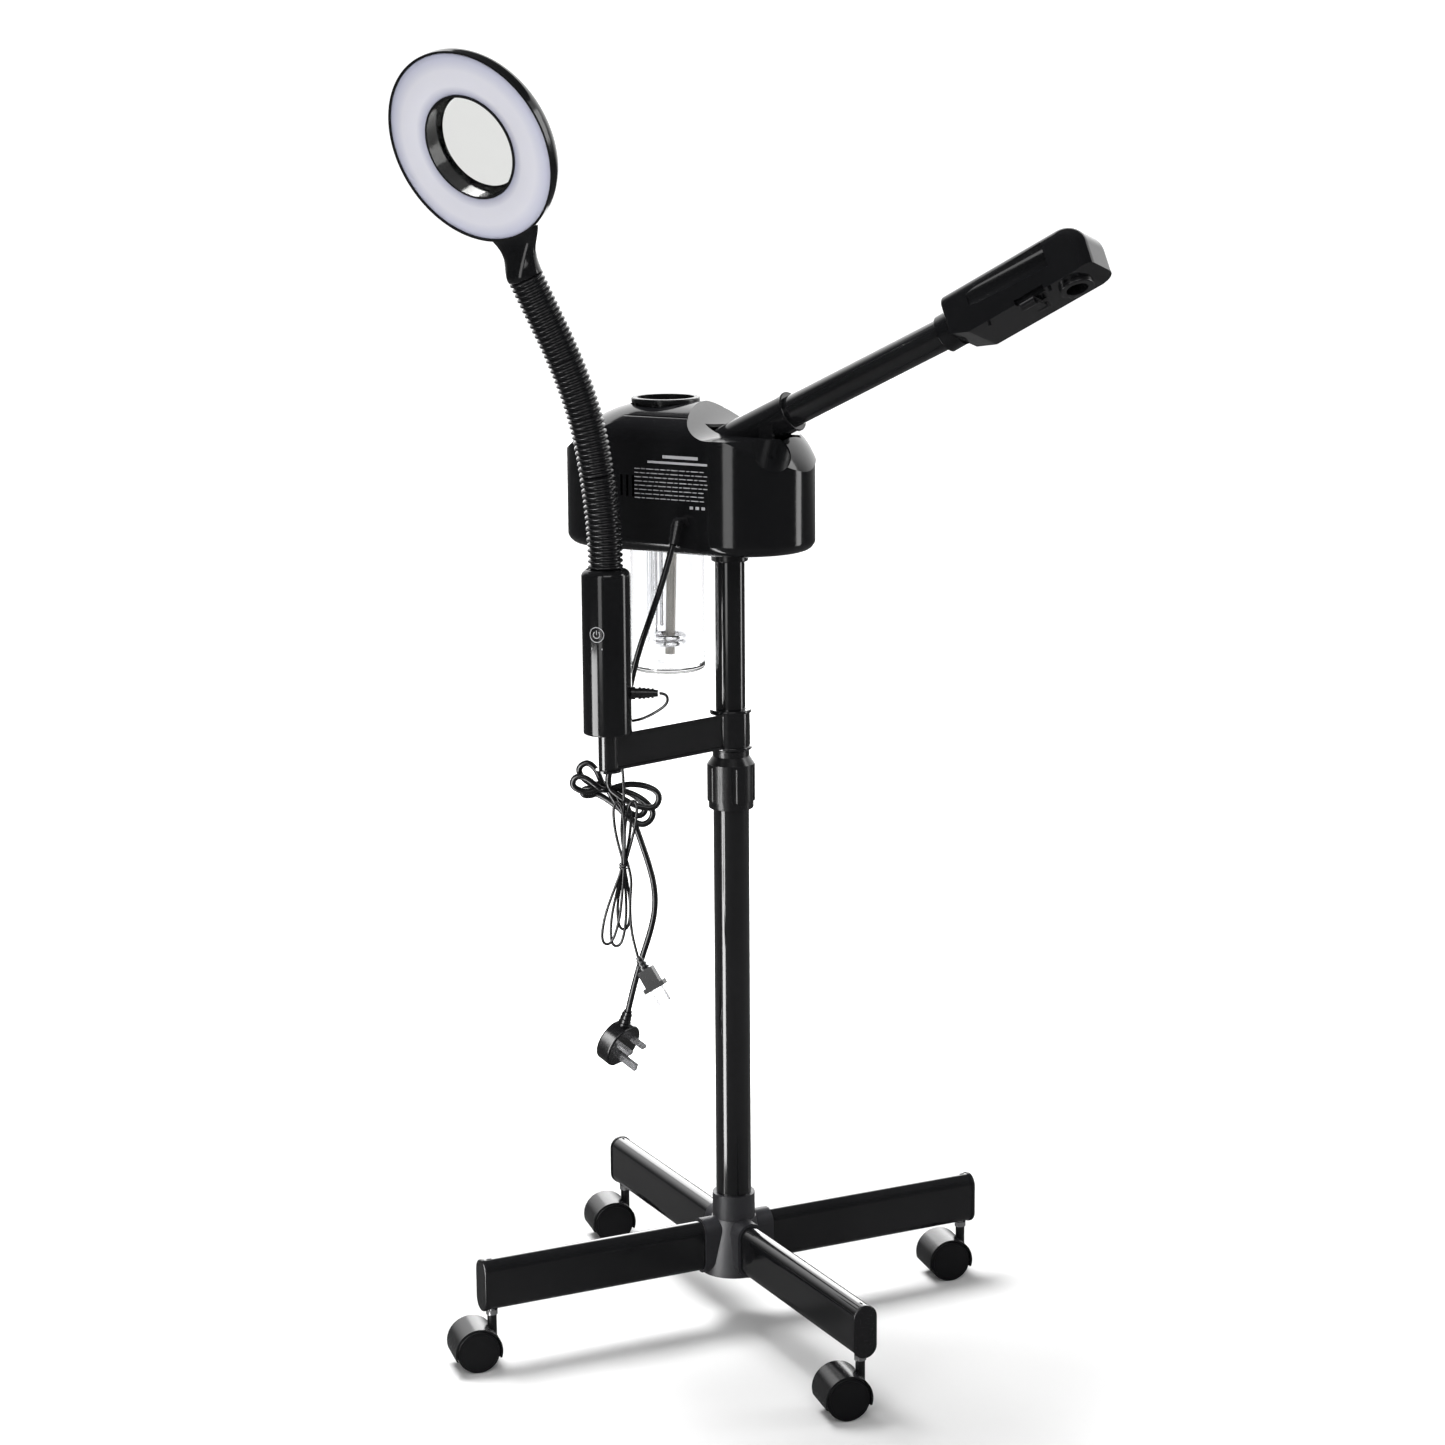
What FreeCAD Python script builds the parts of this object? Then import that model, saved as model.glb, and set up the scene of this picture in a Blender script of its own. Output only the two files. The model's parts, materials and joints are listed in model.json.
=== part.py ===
import FreeCAD, Part
import math
import os

# Facial steamer on a four-legged caster stand, with a magnifying lamp on a
# gooseneck. Millimetres, +Z up, z = 0 on the floor. The stand's column is
# modelled on the Z axis and everything is shifted at the end, so that the
# middle of the footprint of the whole machine lands on the origin.

V = FreeCAD.Vector
X_AXIS = V(1, 0, 0)
Y_AXIS = V(0, 1, 0)
Z_AXIS = V(0, 0, 1)

# ---- driving dimensions -------------------------------------------------

COLUMN_X = 28.0
COLUMN_Y = 22.0

RUN = 0.05              # radial running clearance of a shaft in its hole
GAP = 0.3               # gap between neighbouring bodies that move apart

# base
LEG_WIDTH = 25.0
LEG_HEIGHT = 55.0
LEG_WALL = 1.5
LEG_BOTTOM = 62.0
LEG_START = 21.0
LEG_END = 294.0
LEG_CAP = 4.0
STEM_RADIUS_AT = 286.0
HUB_BOTTOM = 58.0
HUB_TOP = 145.0
SIDES = {"right": 0.0, "back": 90.0, "left": 180.0, "front": 270.0}

# casters
WHEEL_R = 23.0
WHEEL_IN = 5.5
WHEEL_OUT = 21.5
AXLE_R = 2.5
TRAIL = 19.0
CASTER_YAW = -9.5
HOOD_R = 25.5
HOOD_HALF = 22.3
WEB_HALF = 5.0
STEM_R = 3.0
SHANK_R = 4.0

# column
LOWER_R = 19.0
LOWER_WALL = 1.5
LOWER_BOTTOM = 66.0
LOWER_TOP = 600.0
CLAMP_BOTTOM = 573.6
CLAMP_TOP = 636.7
UPPER_R = 16.0
UPPER_WALL = 1.2
UPPER_BOTTOM = 404.0
UPPER_TOP = 884.0

# steamer housing, in its own frame: x along the long side, label side at -y
HEAD_YAW = -56.5
BODY_X = -47.0
BODY_HALF = 140.0
BODY_R = 74.0
BODY_BOTTOM = 852.0
BODY_TOP = 998.0
BODY_SHOULDER = 992.0
SHOULDER_R = 26.0
FOOT_R = 11.0
CROWN_R = 106.0         # radius of both domed ends, seen from above
CROWN_OVER = 1.2        # how far the domes would reach past the end walls
CROWN_BASE = 925.0
CROWN_TOP = 1003.0
BODY_SPLIT = 897.0
WALL = 2.5
VALLEY_FLOOR = 971.0
NEAR_SCOOP = (17.0, 27.0, 90.0)     # floor x, radius, sweep in degrees
FAR_SCOOP = (8.0, 75.0, 61.0)
FACET_R = 22.5
FACET_TILT = 35.0
FACET_YAW = -24.0
FACET_DEPTH = 5.0
JAR_X = -76.0
NECK_HOLE_R = 36.8
JAR_R = 40.0
JAR_WALL = 2.8
JAR_BOTTOM = 717.0
JAR_TOP = 865.7
GRIP_X = -12.0
GRIP_Z = 888.0

# steam arm, in the housing's frame
ARM_TILT = 26.3
ARM_ROOT = V(64.2, 0, 992.0)
ARM_PIVOT = V(58.0, 0, 952.0)
ARM_R = 16.5
ARM_WALL = 1.5
SHOE_R = 20.0
SHOE_BACK = -76.0
SHOE_FRONT = 14.0
ARM_LENGTH = 240.0
TRUNNION_R = 5.0
EAR_HALF = 20.0

# steam head, from the arm's far end
NOSE_AT = 222.0
NOSE_ROLL = -19.8
NOSE_PITCH = 3.0
NOSE_LENGTH = 166.0
NOSE_HALF = 26.0
NOSE_TOP = 28.0
NOSE_SPLIT = -13.0
NOSE_BOTTOM = -25.0
NOSE_ROUND = 12.0
CAP_START = 126.0
NOSE_BROW = 26.0        # radius of the front corner, seen from the side
NOZZLE_X = 134.0
NOZZLE_R = 11.0

# lamp bracket, in its own frame: the bar runs along +x
BRACKET_YAW = -164.0
BAR_LENGTH = 170.0
BAR_BOTTOM = 640.5
BAR_TOP = 678.0
BAR_HALF = 8.0
SLEEVE_R = 20.5
PIN_TUBE_R = 10.0
PIN_R = 7.5

# lamp handle and gooseneck
HANDLE_R = 25.0
HANDLE_BOTTOM = 678.3
HANDLE_TOP = 848.0
JACK_YAW = -30.0
JACK_Z = 720.0
JACK_END = 52.0
NECK_YAW = 177.0
NECK_R = 18.0
NECK_CORE = 14.5
NECK_STEP = 62.0
NECK_GAP = 3.5
NECK_KNUCKLE = 12.5
NECK_HEADINGS = [0.0, 6.0, 11.0, 20.0, 26.0, 26.0]
RIBS_PER_STEP = 10

# lamp head, face along +x, neck towards -z
LAMP_TILT = 23.7
LAMP_TURN = 29.3
LAMP_R = 98.0
LAMP_HOLE = 51.0
LAMP_DEPTH = 22.0
LAMP_EDGE = 17.0
LAMP_NECK = 136.5

# cords
MAINS_D = 6.5
LAMP_LEAD_D = 3.0
HANG_YAW = -26.4        # both hanks are flat and lie along this direction
MAINS_HANK_BACK = -32.0
LAMP_HANK_BACK = -88.0
MAINS_ROUTE = [
    (-86.0, -43.0, 866.0), (-96.1, -40.2, 829.6), (-104.8, -27.5, 791.0),
    (-112.4, -10.8, 750.4), (-118.4, 2.2, 702.4), (-122.1, 15.0, 654.0),
    (-120.2, 23.1, 615.4),
]
MAINS_TAIL = [
    (-107.2, 17.2, 569.4), (-99.7, 13.6, 544.4), (-92.7, 10.2, 520.4),
    (-87.4, 7.4, 495.4), (-87.0, 7.3, 470.4), (-91.7, 9.6, 446.4),
    (-100.0, 13.8, 418.4), (-108.2, 18.0, 386.4), (-113.7, 21.6, 358.4),
]
LAMP_ROUTE = [
    (-117.3, -73.5, 720.0), (-110.4, -77.5, 719.6), (-109.4, -76.4, 709.0),
    (-117.0, -65.0, 699.0), (-127.0, -51.0, 690.0), (-134.6, -38.5, 686.5),
    (-138.9, -27.0, 681.0), (-138.6, -19.5, 667.0), (-137.4, -20.5, 645.0),
    (-137.0, -27.0, 622.0), (-135.8, -30.0, 599.0),
]
LAMP_TAIL = [
    (-132.0, -33.0, 520.0), (-134.0, -31.8, 497.0), (-134.2, -31.9, 474.0),
    (-132.0, -33.0, 453.0), (-127.5, -35.2, 434.0),
]


# ---- shape helpers ------------------------------------------------------

def cyl(radius, z0, z1, x=0.0, y=0.0):
    return Part.makeCylinder(radius, z1 - z0, V(x, y, z0))


def ring(outer, inner, z0, z1, x=0.0, y=0.0):
    return cyl(outer, z0, z1, x, y).cut(cyl(inner, z0 - 1, z1 + 1, x, y))


def rod(radius, start, end):
    line = end - start
    return Part.makeCylinder(radius, line.Length, start, line)


def box(x0, x1, y0, y1, z0, z1):
    return Part.makeBox(x1 - x0, y1 - y0, z1 - z0, V(x0, y0, z0))


def turned(shape, angle, at=V(0, 0, 0), axis=Z_AXIS):
    copy = shape.copy()
    copy.rotate(at, axis, angle)
    return copy


def moved(shape, x=0.0, y=0.0, z=0.0):
    copy = shape.copy()
    copy.translate(V(x, y, z))
    return copy


def placed(shape, placement):
    copy = shape.copy()
    copy.Placement = placement.multiply(copy.Placement)
    return copy


def group(*solids):
    return Part.makeCompound(list(solids))


def prism(points, direction):
    """Closed outline through points, pushed along direction."""
    return Part.Face(Part.makePolygon(points + [points[0]])).extrude(direction)


def slot_prism(width, height, x0, x1, bottom):
    """Upright slot outline in the YZ plane, pushed from x0 to x1."""
    r = width / 2
    low = bottom + r
    high = bottom + height - r
    edges = [
        Part.makeLine(V(x0, r, low), V(x0, r, high)),
        Part.Arc(V(x0, r, high), V(x0, 0, high + r), V(x0, -r, high)).toShape(),
        Part.makeLine(V(x0, -r, high), V(x0, -r, low)),
        Part.Arc(V(x0, -r, low), V(x0, 0, low - r), V(x0, r, low)).toShape(),
    ]
    return Part.Face(Part.Wire(edges)).extrude(V(x1 - x0, 0, 0))


def revolved(outline, base, axis):
    """Solid of revolution of a closed list of edges."""
    return Part.Face(Part.Wire(outline)).revolve(base, axis, 360)


def lines(*points):
    return [Part.makeLine(a, b) for a, b in zip(points[:-1], points[1:])]


def filleted(shape, radius, wanted):
    """Round every edge for which wanted(edge) holds."""
    edges = [e for e in shape.Edges if wanted(e)]
    return shape.makeFillet(radius, edges)


def at_height(z, tolerance=0.01):
    def test(edge):
        bound = edge.BoundBox
        return abs(bound.ZMin - z) < tolerance and abs(bound.ZMax - z) < tolerance
    return test


def cord_tube(route, diameter, name):
    """Round tube on straight runs joined by the largest tangent arcs."""
    points = [V(*p) for p in route]
    edges = []
    radii = []
    start = points[0]
    for before, corner, after in zip(points[:-2], points[1:-1], points[2:]):
        run_in = corner - before
        run_out = after - corner
        turn = run_in.getAngle(run_out)
        setback = 0.45 * min(run_in.Length, run_out.Length)
        radius = setback / math.tan(turn / 2)
        radii.append(radius)
        run_in.normalize()
        run_out.normalize()
        enter = corner - run_in * setback
        leave = corner + run_out * setback
        inward = run_out - run_in
        inward.normalize()
        centre = corner + inward * (radius / math.cos(turn / 2))
        middle = centre - inward * radius
        edges.append(Part.LineSegment(start, enter).toShape())
        edges.append(Part.Arc(enter, middle, leave).toShape())
        start = leave
    edges.append(Part.LineSegment(start, points[-1]).toShape())
    path = Part.Wire(edges)
    section = Part.Wire(Part.Circle(points[0], points[1] - points[0],
                                    diameter / 2).toShape())
    tube = path.makePipeShell([section], True, True)
    expected = math.pi * diameter ** 2 / 4 * path.Length
    print(name, "length", round(path.Length, 1),
          "volume ratio", round(tube.Volume / expected, 4),
          "radii", [round(r, 1) for r in radii])
    return tube


# ---- base ---------------------------------------------------------------

def leg_tube():
    wall = 2 * LEG_WALL
    outer = slot_prism(LEG_WIDTH, LEG_HEIGHT, LEG_START, LEG_END, LEG_BOTTOM)
    inner = slot_prism(LEG_WIDTH - wall, LEG_HEIGHT - wall, LEG_START - 1,
                       LEG_END + 1, LEG_BOTTOM + LEG_WALL)
    leg = outer.cut(inner)
    stem_hole = cyl(SHANK_R + GAP, LEG_BOTTOM - 5, LEG_BOTTOM + 8, STEM_RADIUS_AT)
    top = LEG_BOTTOM + LEG_HEIGHT
    notch = box(LEG_END - 9, LEG_END - 3, -1.2, 1.2, top - 5, top + 5)
    return leg.cut(stem_hole).cut(notch)


def leg_end_cap():
    inset = 2 * LEG_WALL + 0.2
    plug = slot_prism(LEG_WIDTH - inset, LEG_HEIGHT - inset, LEG_END - 30,
                      LEG_END, LEG_BOTTOM + inset / 2)
    face = slot_prism(LEG_WIDTH + 1.6, LEG_HEIGHT + 1.6, LEG_END,
                      LEG_END + LEG_CAP, LEG_BOTTOM - 0.8)
    far = LEG_END + LEG_CAP
    face = filleted(face, 1.5, lambda e: e.BoundBox.XMin > far - 0.01)
    socket = cyl(SHANK_R, LEG_BOTTOM, LEG_BOTTOM + 36, STEM_RADIUS_AT)
    return plug.fuse(face).cut(socket).removeSplitter()


def hub():
    body = cyl(23.0, 108.0, HUB_TOP)
    body = body.fuse(Part.makeCone(37.0, 24.0, 60.0, V(0, 0, HUB_BOTTOM)))
    for angle in SIDES.values():
        sleeve = slot_prism(LEG_WIDTH + 6, LEG_HEIGHT + 6, 0, 41, LEG_BOTTOM - 3)
        body = body.fuse(turned(sleeve, angle))
    for angle in SIDES.values():
        socket = slot_prism(LEG_WIDTH, LEG_HEIGHT, LEG_START, 60, LEG_BOTTOM)
        body = body.cut(turned(socket, angle))
    return body.cut(cyl(LOWER_R, LOWER_BOTTOM, HUB_TOP + 1)).removeSplitter()


def caster_stem():
    ring_low = LEG_BOTTOM - 5.7
    shaft = cyl(STEM_R, 33.0, ring_low)
    collar = cyl(6.2, ring_low, LEG_BOTTOM - GAP)
    shank = cyl(SHANK_R, LEG_BOTTOM - GAP, LEG_BOTTOM + 35)
    return moved(shaft.fuse(collar).fuse(shank), STEM_RADIUS_AT)


def make_base(parts):
    parts["hub"] = hub()
    for side, angle in SIDES.items():
        parts["leg_" + side] = turned(leg_tube(), angle)
    caps = [turned(leg_end_cap(), angle) for angle in SIDES.values()]
    parts["leg_end_caps"] = group(*caps)
    stems = [turned(caster_stem(), angle) for angle in SIDES.values()]
    parts["caster_stems"] = group(*stems)
    parts["lower_tube"] = ring(LOWER_R, LOWER_R - LOWER_WALL, LOWER_BOTTOM, LOWER_TOP)
    parts["clamp_collar"] = clamp_collar()


# ---- casters: wheel centre on the local origin, swivel axis at x = TRAIL ----

def caster_hood():
    def across(radius, half):
        return Part.makeCylinder(radius, 2 * half, V(0, -half, 0), Y_AXIS)

    shell = across(HOOD_R, HOOD_HALF).cut(across(WHEEL_R + 0.8, HOOD_HALF + 1))
    web = across(WHEEL_R + 1.2, WEB_HALF)
    above = box(-60, 60, -30, 30, -8, 60)
    body = shell.fuse(web).common(above).fuse(across(8.0, WEB_HALF))
    stem_neck = cyl(5.0, 8.0, 33.0, TRAIL)
    neck_room = cyl(STEM_R + RUN, 9.7, 40.0, TRAIL)
    neck_slim = box(TRAIL - 6, TRAIL + 6, -WEB_HALF, WEB_HALF, -8, 33)
    body = body.fuse(stem_neck.common(neck_slim))
    body = body.cut(neck_room)
    return body.cut(across(AXLE_R + RUN, WEB_HALF + 1)).removeSplitter()


def caster_wheel(sign):
    width = WHEEL_OUT - WHEEL_IN
    wheel = Part.makeCylinder(WHEEL_R, width, V(0, WHEEL_IN, 0), Y_AXIS)
    wheel = wheel.makeFillet(1.6, [e for e in wheel.Edges
                                   if e.Curve.TypeId == "Part::GeomCircle"])
    groove = Part.makeCylinder(20.6, 1.0, V(0, WHEEL_OUT - 0.6, 0), Y_AXIS)
    groove = groove.cut(Part.makeCylinder(19.8, 2.0, V(0, WHEEL_OUT - 1, 0), Y_AXIS))
    bore = Part.makeCylinder(AXLE_R, 16.0, V(0, 0, 0), Y_AXIS)
    wheel = wheel.cut(groove).cut(bore)
    return wheel if sign > 0 else wheel.mirror(V(0, 0, 0), Y_AXIS)


def caster_frame(side):
    """Placement of one caster's local frame in the machine."""
    at = V(STEM_RADIUS_AT, 0, 0)
    spin = FreeCAD.Rotation(Z_AXIS, SIDES[side])
    foot = spin.multVec(at)
    yaw = FreeCAD.Rotation(Z_AXIS, CASTER_YAW)
    origin = foot - yaw.multVec(V(TRAIL, 0, 0)) + V(0, 0, WHEEL_R)
    return FreeCAD.Placement(origin, yaw)


def make_casters(parts):
    axle = Part.makeCylinder(AXLE_R, 32.0, V(0, -16.0, 0), Y_AXIS)
    wheels = group(caster_wheel(1), caster_wheel(-1), axle)
    for side in SIDES:
        frame = caster_frame(side)
        parts["caster_hood_" + side] = placed(caster_hood(), frame)
        parts["caster_wheels_" + side] = placed(wheels, frame)


# ---- column clamp and sliding mast --------------------------------------

def clamp_collar():
    """Ring on the lower tube with the threaded nose that the knob grips."""
    foot = ring(23.8, LOWER_R, CLAMP_BOTTOM, CLAMP_BOTTOM + 8.2)
    foot = filleted(foot, 1.2, lambda e: at_height(CLAMP_BOTTOM)(e)
                    and e.BoundBox.XLength > 40)
    nose = ring(20.9, LOWER_R, CLAMP_BOTTOM + 8.2, LOWER_TOP)
    cap = ring(20.9, UPPER_R + RUN, LOWER_TOP, LOWER_TOP + 14)
    return foot.fuse(nose).fuse(cap).removeSplitter()


def clamp_knob():
    low = CLAMP_BOTTOM + 8.2 + GAP
    shoulder = 622.0
    body = cyl(25.4, low, shoulder)
    body = body.fuse(Part.makeCone(25.4, 20.0, 8.0, V(0, 0, shoulder)))
    body = body.fuse(cyl(19.4, shoulder + 6, CLAMP_TOP))
    for i in range(6):
        flute = cyl(4.0, low - 1, shoulder - 3, 27.6)
        body = body.cut(turned(flute, i * 60.0 + 12.0))
    body = body.cut(cyl(20.9 + GAP, low - 1, LOWER_TOP + 14 + GAP))
    return body.cut(cyl(UPPER_R + GAP, low, CLAMP_TOP + 1)).removeSplitter()


def make_mast(parts):
    parts["clamp_knob"] = clamp_knob()
    parts["guide_bush"] = ring(LOWER_R - LOWER_WALL - RUN, UPPER_R + RUN,
                               UPPER_BOTTOM + 3, UPPER_BOTTOM + 43)
    parts["upper_tube"] = ring(UPPER_R, UPPER_R - UPPER_WALL, UPPER_BOTTOM, UPPER_TOP)
    flange = ring(19.6, UPPER_R, BODY_BOTTOM - 14, BODY_BOTTOM - GAP)
    parts["tube_flange"] = filleted(
        flange, 1.5, lambda e: at_height(BODY_BOTTOM - 14)(e)
        and e.BoundBox.XLength > 35)


# ---- steamer housing ----------------------------------------------------

def stadium(inset, z0, z1):
    r = BODY_R - inset
    a = BODY_X - BODY_HALF + BODY_R
    b = BODY_X + BODY_HALF - BODY_R
    edges = [
        Part.makeLine(V(a, -r, z0), V(b, -r, z0)),
        Part.Arc(V(b, -r, z0), V(b + r, 0, z0), V(b, r, z0)).toShape(),
        Part.makeLine(V(b, r, z0), V(a, r, z0)),
        Part.Arc(V(a, r, z0), V(a - r, 0, z0), V(a, -r, z0)).toShape(),
    ]
    return Part.Face(Part.Wire(edges)).extrude(V(0, 0, z1 - z0))


def crown(inset):
    """Half ellipses swept along the body and turned around both ends."""
    r = CROWN_R - inset
    top = CROWN_TOP - inset
    left = BODY_X - BODY_HALF + CROWN_R - CROWN_OVER
    right = BODY_X + BODY_HALF - CROWN_R + CROWN_OVER
    low = CROWN_BASE - 100

    def quarter(x, side):
        oval = Part.Ellipse(V(x, 0, CROWN_BASE) + side * r, V(x, 0, top),
                            V(x, 0, CROWN_BASE))
        return Part.ArcOfEllipse(oval, 0, math.pi / 2).toShape()

    pieces = []
    for x, side in ((left, Y_AXIS), (left, -X_AXIS), (right, -Y_AXIS), (right, X_AXIS)):
        outline = lines(V(x, 0, top), V(x, 0, low), V(x, 0, low) + side * r,
                        V(x, 0, CROWN_BASE) + side * r)
        wire = Part.Wire(Part.__sortEdges__(outline + [quarter(x, side)]))
        pieces.append(Part.Face(wire).revolve(V(x, 0, 0), Z_AXIS, 90))
    section = [quarter(left, Y_AXIS), quarter(left, -Y_AXIS)]
    section += lines(V(left, -r, CROWN_BASE), V(left, -r, low), V(left, r, low),
                     V(left, r, CROWN_BASE))
    face = Part.Face(Part.Wire(Part.__sortEdges__(section)))
    middle = face.extrude(V(right - left, 0, 0))
    return middle.multiFuse(pieces)


def scoop_outline(y, floor_x, radius, sweep, inset):
    """Flat floor that curves up to a wall on the left."""
    r = radius + inset
    centre_z = VALLEY_FLOOR + radius

    def on_arc(share):
        angle = math.radians(sweep * share)
        return V(floor_x - r * math.sin(angle), y, centre_z - r * math.cos(angle))

    low = on_arc(0)
    top = on_arc(1)
    high = CROWN_TOP + 60
    far = 160.0
    edges = lines(V(far, y, low.z), low)
    edges.append(Part.Arc(low, on_arc(0.5), top).toShape())
    edges += lines(top, V(top.x, y, high), V(far, y, high), V(far, y, low.z))
    return Part.Wire(edges)


def arm_valley(inset):
    """Scoop over the whole right half, in which the steam arm lies."""
    near = scoop_outline(-90.0, *NEAR_SCOOP, inset)
    far = scoop_outline(90.0, *FAR_SCOOP, inset)
    return Part.makeLoft([near, far], True, True)


def housing_solid(inset):
    low = BODY_BOTTOM + inset
    shoulder = BODY_SHOULDER - inset
    body = stadium(inset, low, shoulder)
    body = filleted(body, SHOULDER_R - inset, at_height(shoulder))
    body = filleted(body, FOOT_R - inset, at_height(low))
    core = stadium(inset + 20, low + 20, CROWN_TOP + 5)
    return body.fuse(core).common(crown(inset)).cut(arm_valley(inset))


def cover_region():
    """Plan area taken by the front cover, with its seam at both tips."""
    tip = BODY_X + BODY_HALF
    tail = BODY_X - BODY_HALF
    seam = 41.0
    outline = [
        V(tail - 20, -2, 840), V(tail, -2, 840), V(tail + 42, seam, 840),
        V(tip - 42, seam, 840), V(tip, -2, 840), V(tip + 20, -2, 840),
        V(tip + 20, 110, 840), V(tail - 20, 110, 840),
    ]
    return prism(outline, V(0, 0, 200))


def shell_openings():
    """Everything that passes through the shells, as one cutting shape."""
    cuts = cyl(UPPER_R + 0.4, BODY_BOTTOM - 5, BODY_BOTTOM + 12)
    cuts = cuts.fuse(cyl(JAR_R + 0.5, BODY_BOTTOM - 5, BODY_BOTTOM + 6, JAR_X))
    cuts = cuts.fuse(cyl(NECK_HOLE_R, 960, CROWN_TOP + 5, JAR_X))
    cuts = cuts.fuse(box(-16, 74, -EAR_HALF - 1.5, EAR_HALF + 1.5, 955, 990))
    cuts = cuts.fuse(Part.makeCylinder(5.0, 20, V(GRIP_X, -BODY_R - 5, GRIP_Z), Y_AXIS))
    for i in range(3):
        x = -86.0 + 7.0 * i
        cuts = cuts.fuse(box(x - 1.4, x + 1.4, -BODY_R - 5, -BODY_R + 8, 910, 932))
    return cuts


def arm_bearings():
    """Two plates under the valley floor that carry the arm's trunnions."""
    plates = []
    for low in (EAR_HALF + 1.5, -EAR_HALF - 6.5):
        plate = box(ARM_PIVOT.x - 11, ARM_PIVOT.x + 9, low, low + 5.0,
                    ARM_PIVOT.z - 11, VALLEY_FLOOR - 1)
        plates.append(plate)
    bore = Part.makeCylinder(TRUNNION_R + RUN, 80, V(ARM_PIVOT.x, -40, ARM_PIVOT.z),
                             Y_AXIS)
    return plates[0].fuse(plates[1]).cut(bore)


def cover_facet():
    """Placement of the round flat on the curve of the right-hand end."""
    yaw = FreeCAD.Rotation(Z_AXIS, FACET_YAW)
    tilt = math.radians(FACET_TILT)
    rise = CROWN_TOP - CROWN_BASE
    slope = math.tan(tilt) * (rise / CROWN_R) ** 2
    out = 1.0 / math.sqrt(1 / CROWN_R ** 2 + (slope / rise) ** 2)
    normal = V(math.cos(tilt), 0, math.sin(tilt))
    spot = V(out, 0, CROWN_BASE + slope * out) - normal * FACET_DEPTH
    centre = V(BODY_X + BODY_HALF - CROWN_R, 0, 0)
    return plug_frame(centre + yaw.multVec(spot), yaw.multVec(normal), Z_AXIS)


def switch_positions():
    return [V(-70.0, BODY_R, 915.0), V(-10.0, BODY_R, 915.0)]


def pocket(at, width, height, depth):
    return box(at.x - width / 2, at.x + width / 2, at.y - depth, at.y + 5,
               at.z - height / 2, at.z + height / 2)


def make_housing(parts):
    shell = housing_solid(0).cut(housing_solid(WALL))
    shell = shell.cut(shell_openings())
    region = cover_region()
    cover = shell.common(region)
    rear = shell.cut(region)
    for at in switch_positions():
        cover = cover.cut(pocket(at, 22, 15, 12))
    flat = Part.makeCylinder(FACET_R + 0.1, 30, V(0, 0, 0), X_AXIS)
    upper = rear.common(box(-300, 200, -120, 120, BODY_SPLIT, 1100))
    upper = upper.fuse(arm_bearings()).cut(placed(flat, cover_facet())).cut(cover)
    upper = upper.removeSplitter()
    lower = rear.common(box(-300, 200, -120, 120, 800, BODY_SPLIT))
    seat = ring(JAR_R + 4.5, JAR_R + 0.5, BODY_BOTTOM + 1, JAR_TOP + 0.3, JAR_X)
    tube_seat = ring(UPPER_R + 5, UPPER_R + RUN, BODY_BOTTOM + 1, BODY_BOTTOM + 30)
    lower = lower.fuse(seat).fuse(tube_seat).cut(cover).removeSplitter()
    parts["rear_upper_shell"] = largest(upper)
    parts["rear_lower_shell"] = largest(lower)
    parts["front_cover"] = largest(cover)
    parts["pivot_cover"] = pivot_cover()
    parts["filler_neck"] = filler_neck()
    parts["cord_grip"] = cord_grip()
    for name, at in zip(("power_switch", "ozone_switch"), switch_positions()):
        parts[name] = rocker(at)
    make_boiler(parts)


def largest(shape):
    return max(shape.Solids, key=lambda solid: solid.Volume)


def pivot_cover():
    """Disc on the flat, with a round boss and a slanting rib."""
    disc = Part.makeCylinder(FACET_R, 2.6, V(0, 0, 0), X_AXIS)
    boss = Part.makeCylinder(3.4, 5.6, V(0, 0, -5), X_AXIS)
    rib = turned(box(0, 4.6, -1.5, 1.5, -5, 11), -38, V(0, 0, -5), X_AXIS)
    cover = placed(disc.fuse(boss).fuse(rib), cover_facet())
    return cover.common(box(-300, 300, -300, 300, 900, VALLEY_FLOOR)).removeSplitter()


def filler_neck():
    """Open cup under a thick lip, with lugs for a lid."""
    body = ring(33.5, 30.0, BODY_TOP - 40, BODY_TOP + 8, JAR_X)
    lip = ring(NECK_HOLE_R - 0.2, 30.0, BODY_TOP + 3.5, BODY_TOP + 8, JAR_X)
    lip = filleted(lip, 1.4, lambda e: at_height(BODY_TOP + 8)(e))
    seat = ring(NECK_HOLE_R - 0.2, 33.0, BODY_TOP - 8, BODY_TOP - 5, JAR_X)
    floor = ring(33.5, 6.0, BODY_TOP - 43, BODY_TOP - 40, JAR_X)
    body = body.fuse(lip).fuse(seat).fuse(floor)
    for i in range(8):
        lug = box(33.0, 35.6, -2.2, 2.2, BODY_TOP - 3, BODY_TOP + 4)
        body = body.fuse(moved(turned(lug, 45.0 * i + 10), JAR_X))
    return body.removeSplitter()


def cord_grip():
    """Ribbed elbow that turns the mains lead down."""
    out = -Y_AXIS
    start = V(GRIP_X, -BODY_R + 3, GRIP_Z)
    knee = V(GRIP_X, -BODY_R - 12, GRIP_Z)
    grip = rod(5.0, start, knee).fuse(Part.makeSphere(5.0, knee))
    grip = grip.fuse(Part.makeCylinder(7.5, 3, V(GRIP_X, -BODY_R - 0.01, GRIP_Z), out))
    end = inverse_head(V(*MAINS_ROUTE[0]))
    down = end - knee
    grip = grip.fuse(Part.makeCone(5.2, 4.2, down.Length, knee, down))
    down.normalize()
    for i in range(4):
        centre = knee + down * (3.0 + 4.4 * i)
        grip = grip.fuse(Part.makeCylinder(5.9 - 0.3 * i, 2.2, centre, down))
    return grip.removeSplitter()


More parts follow.
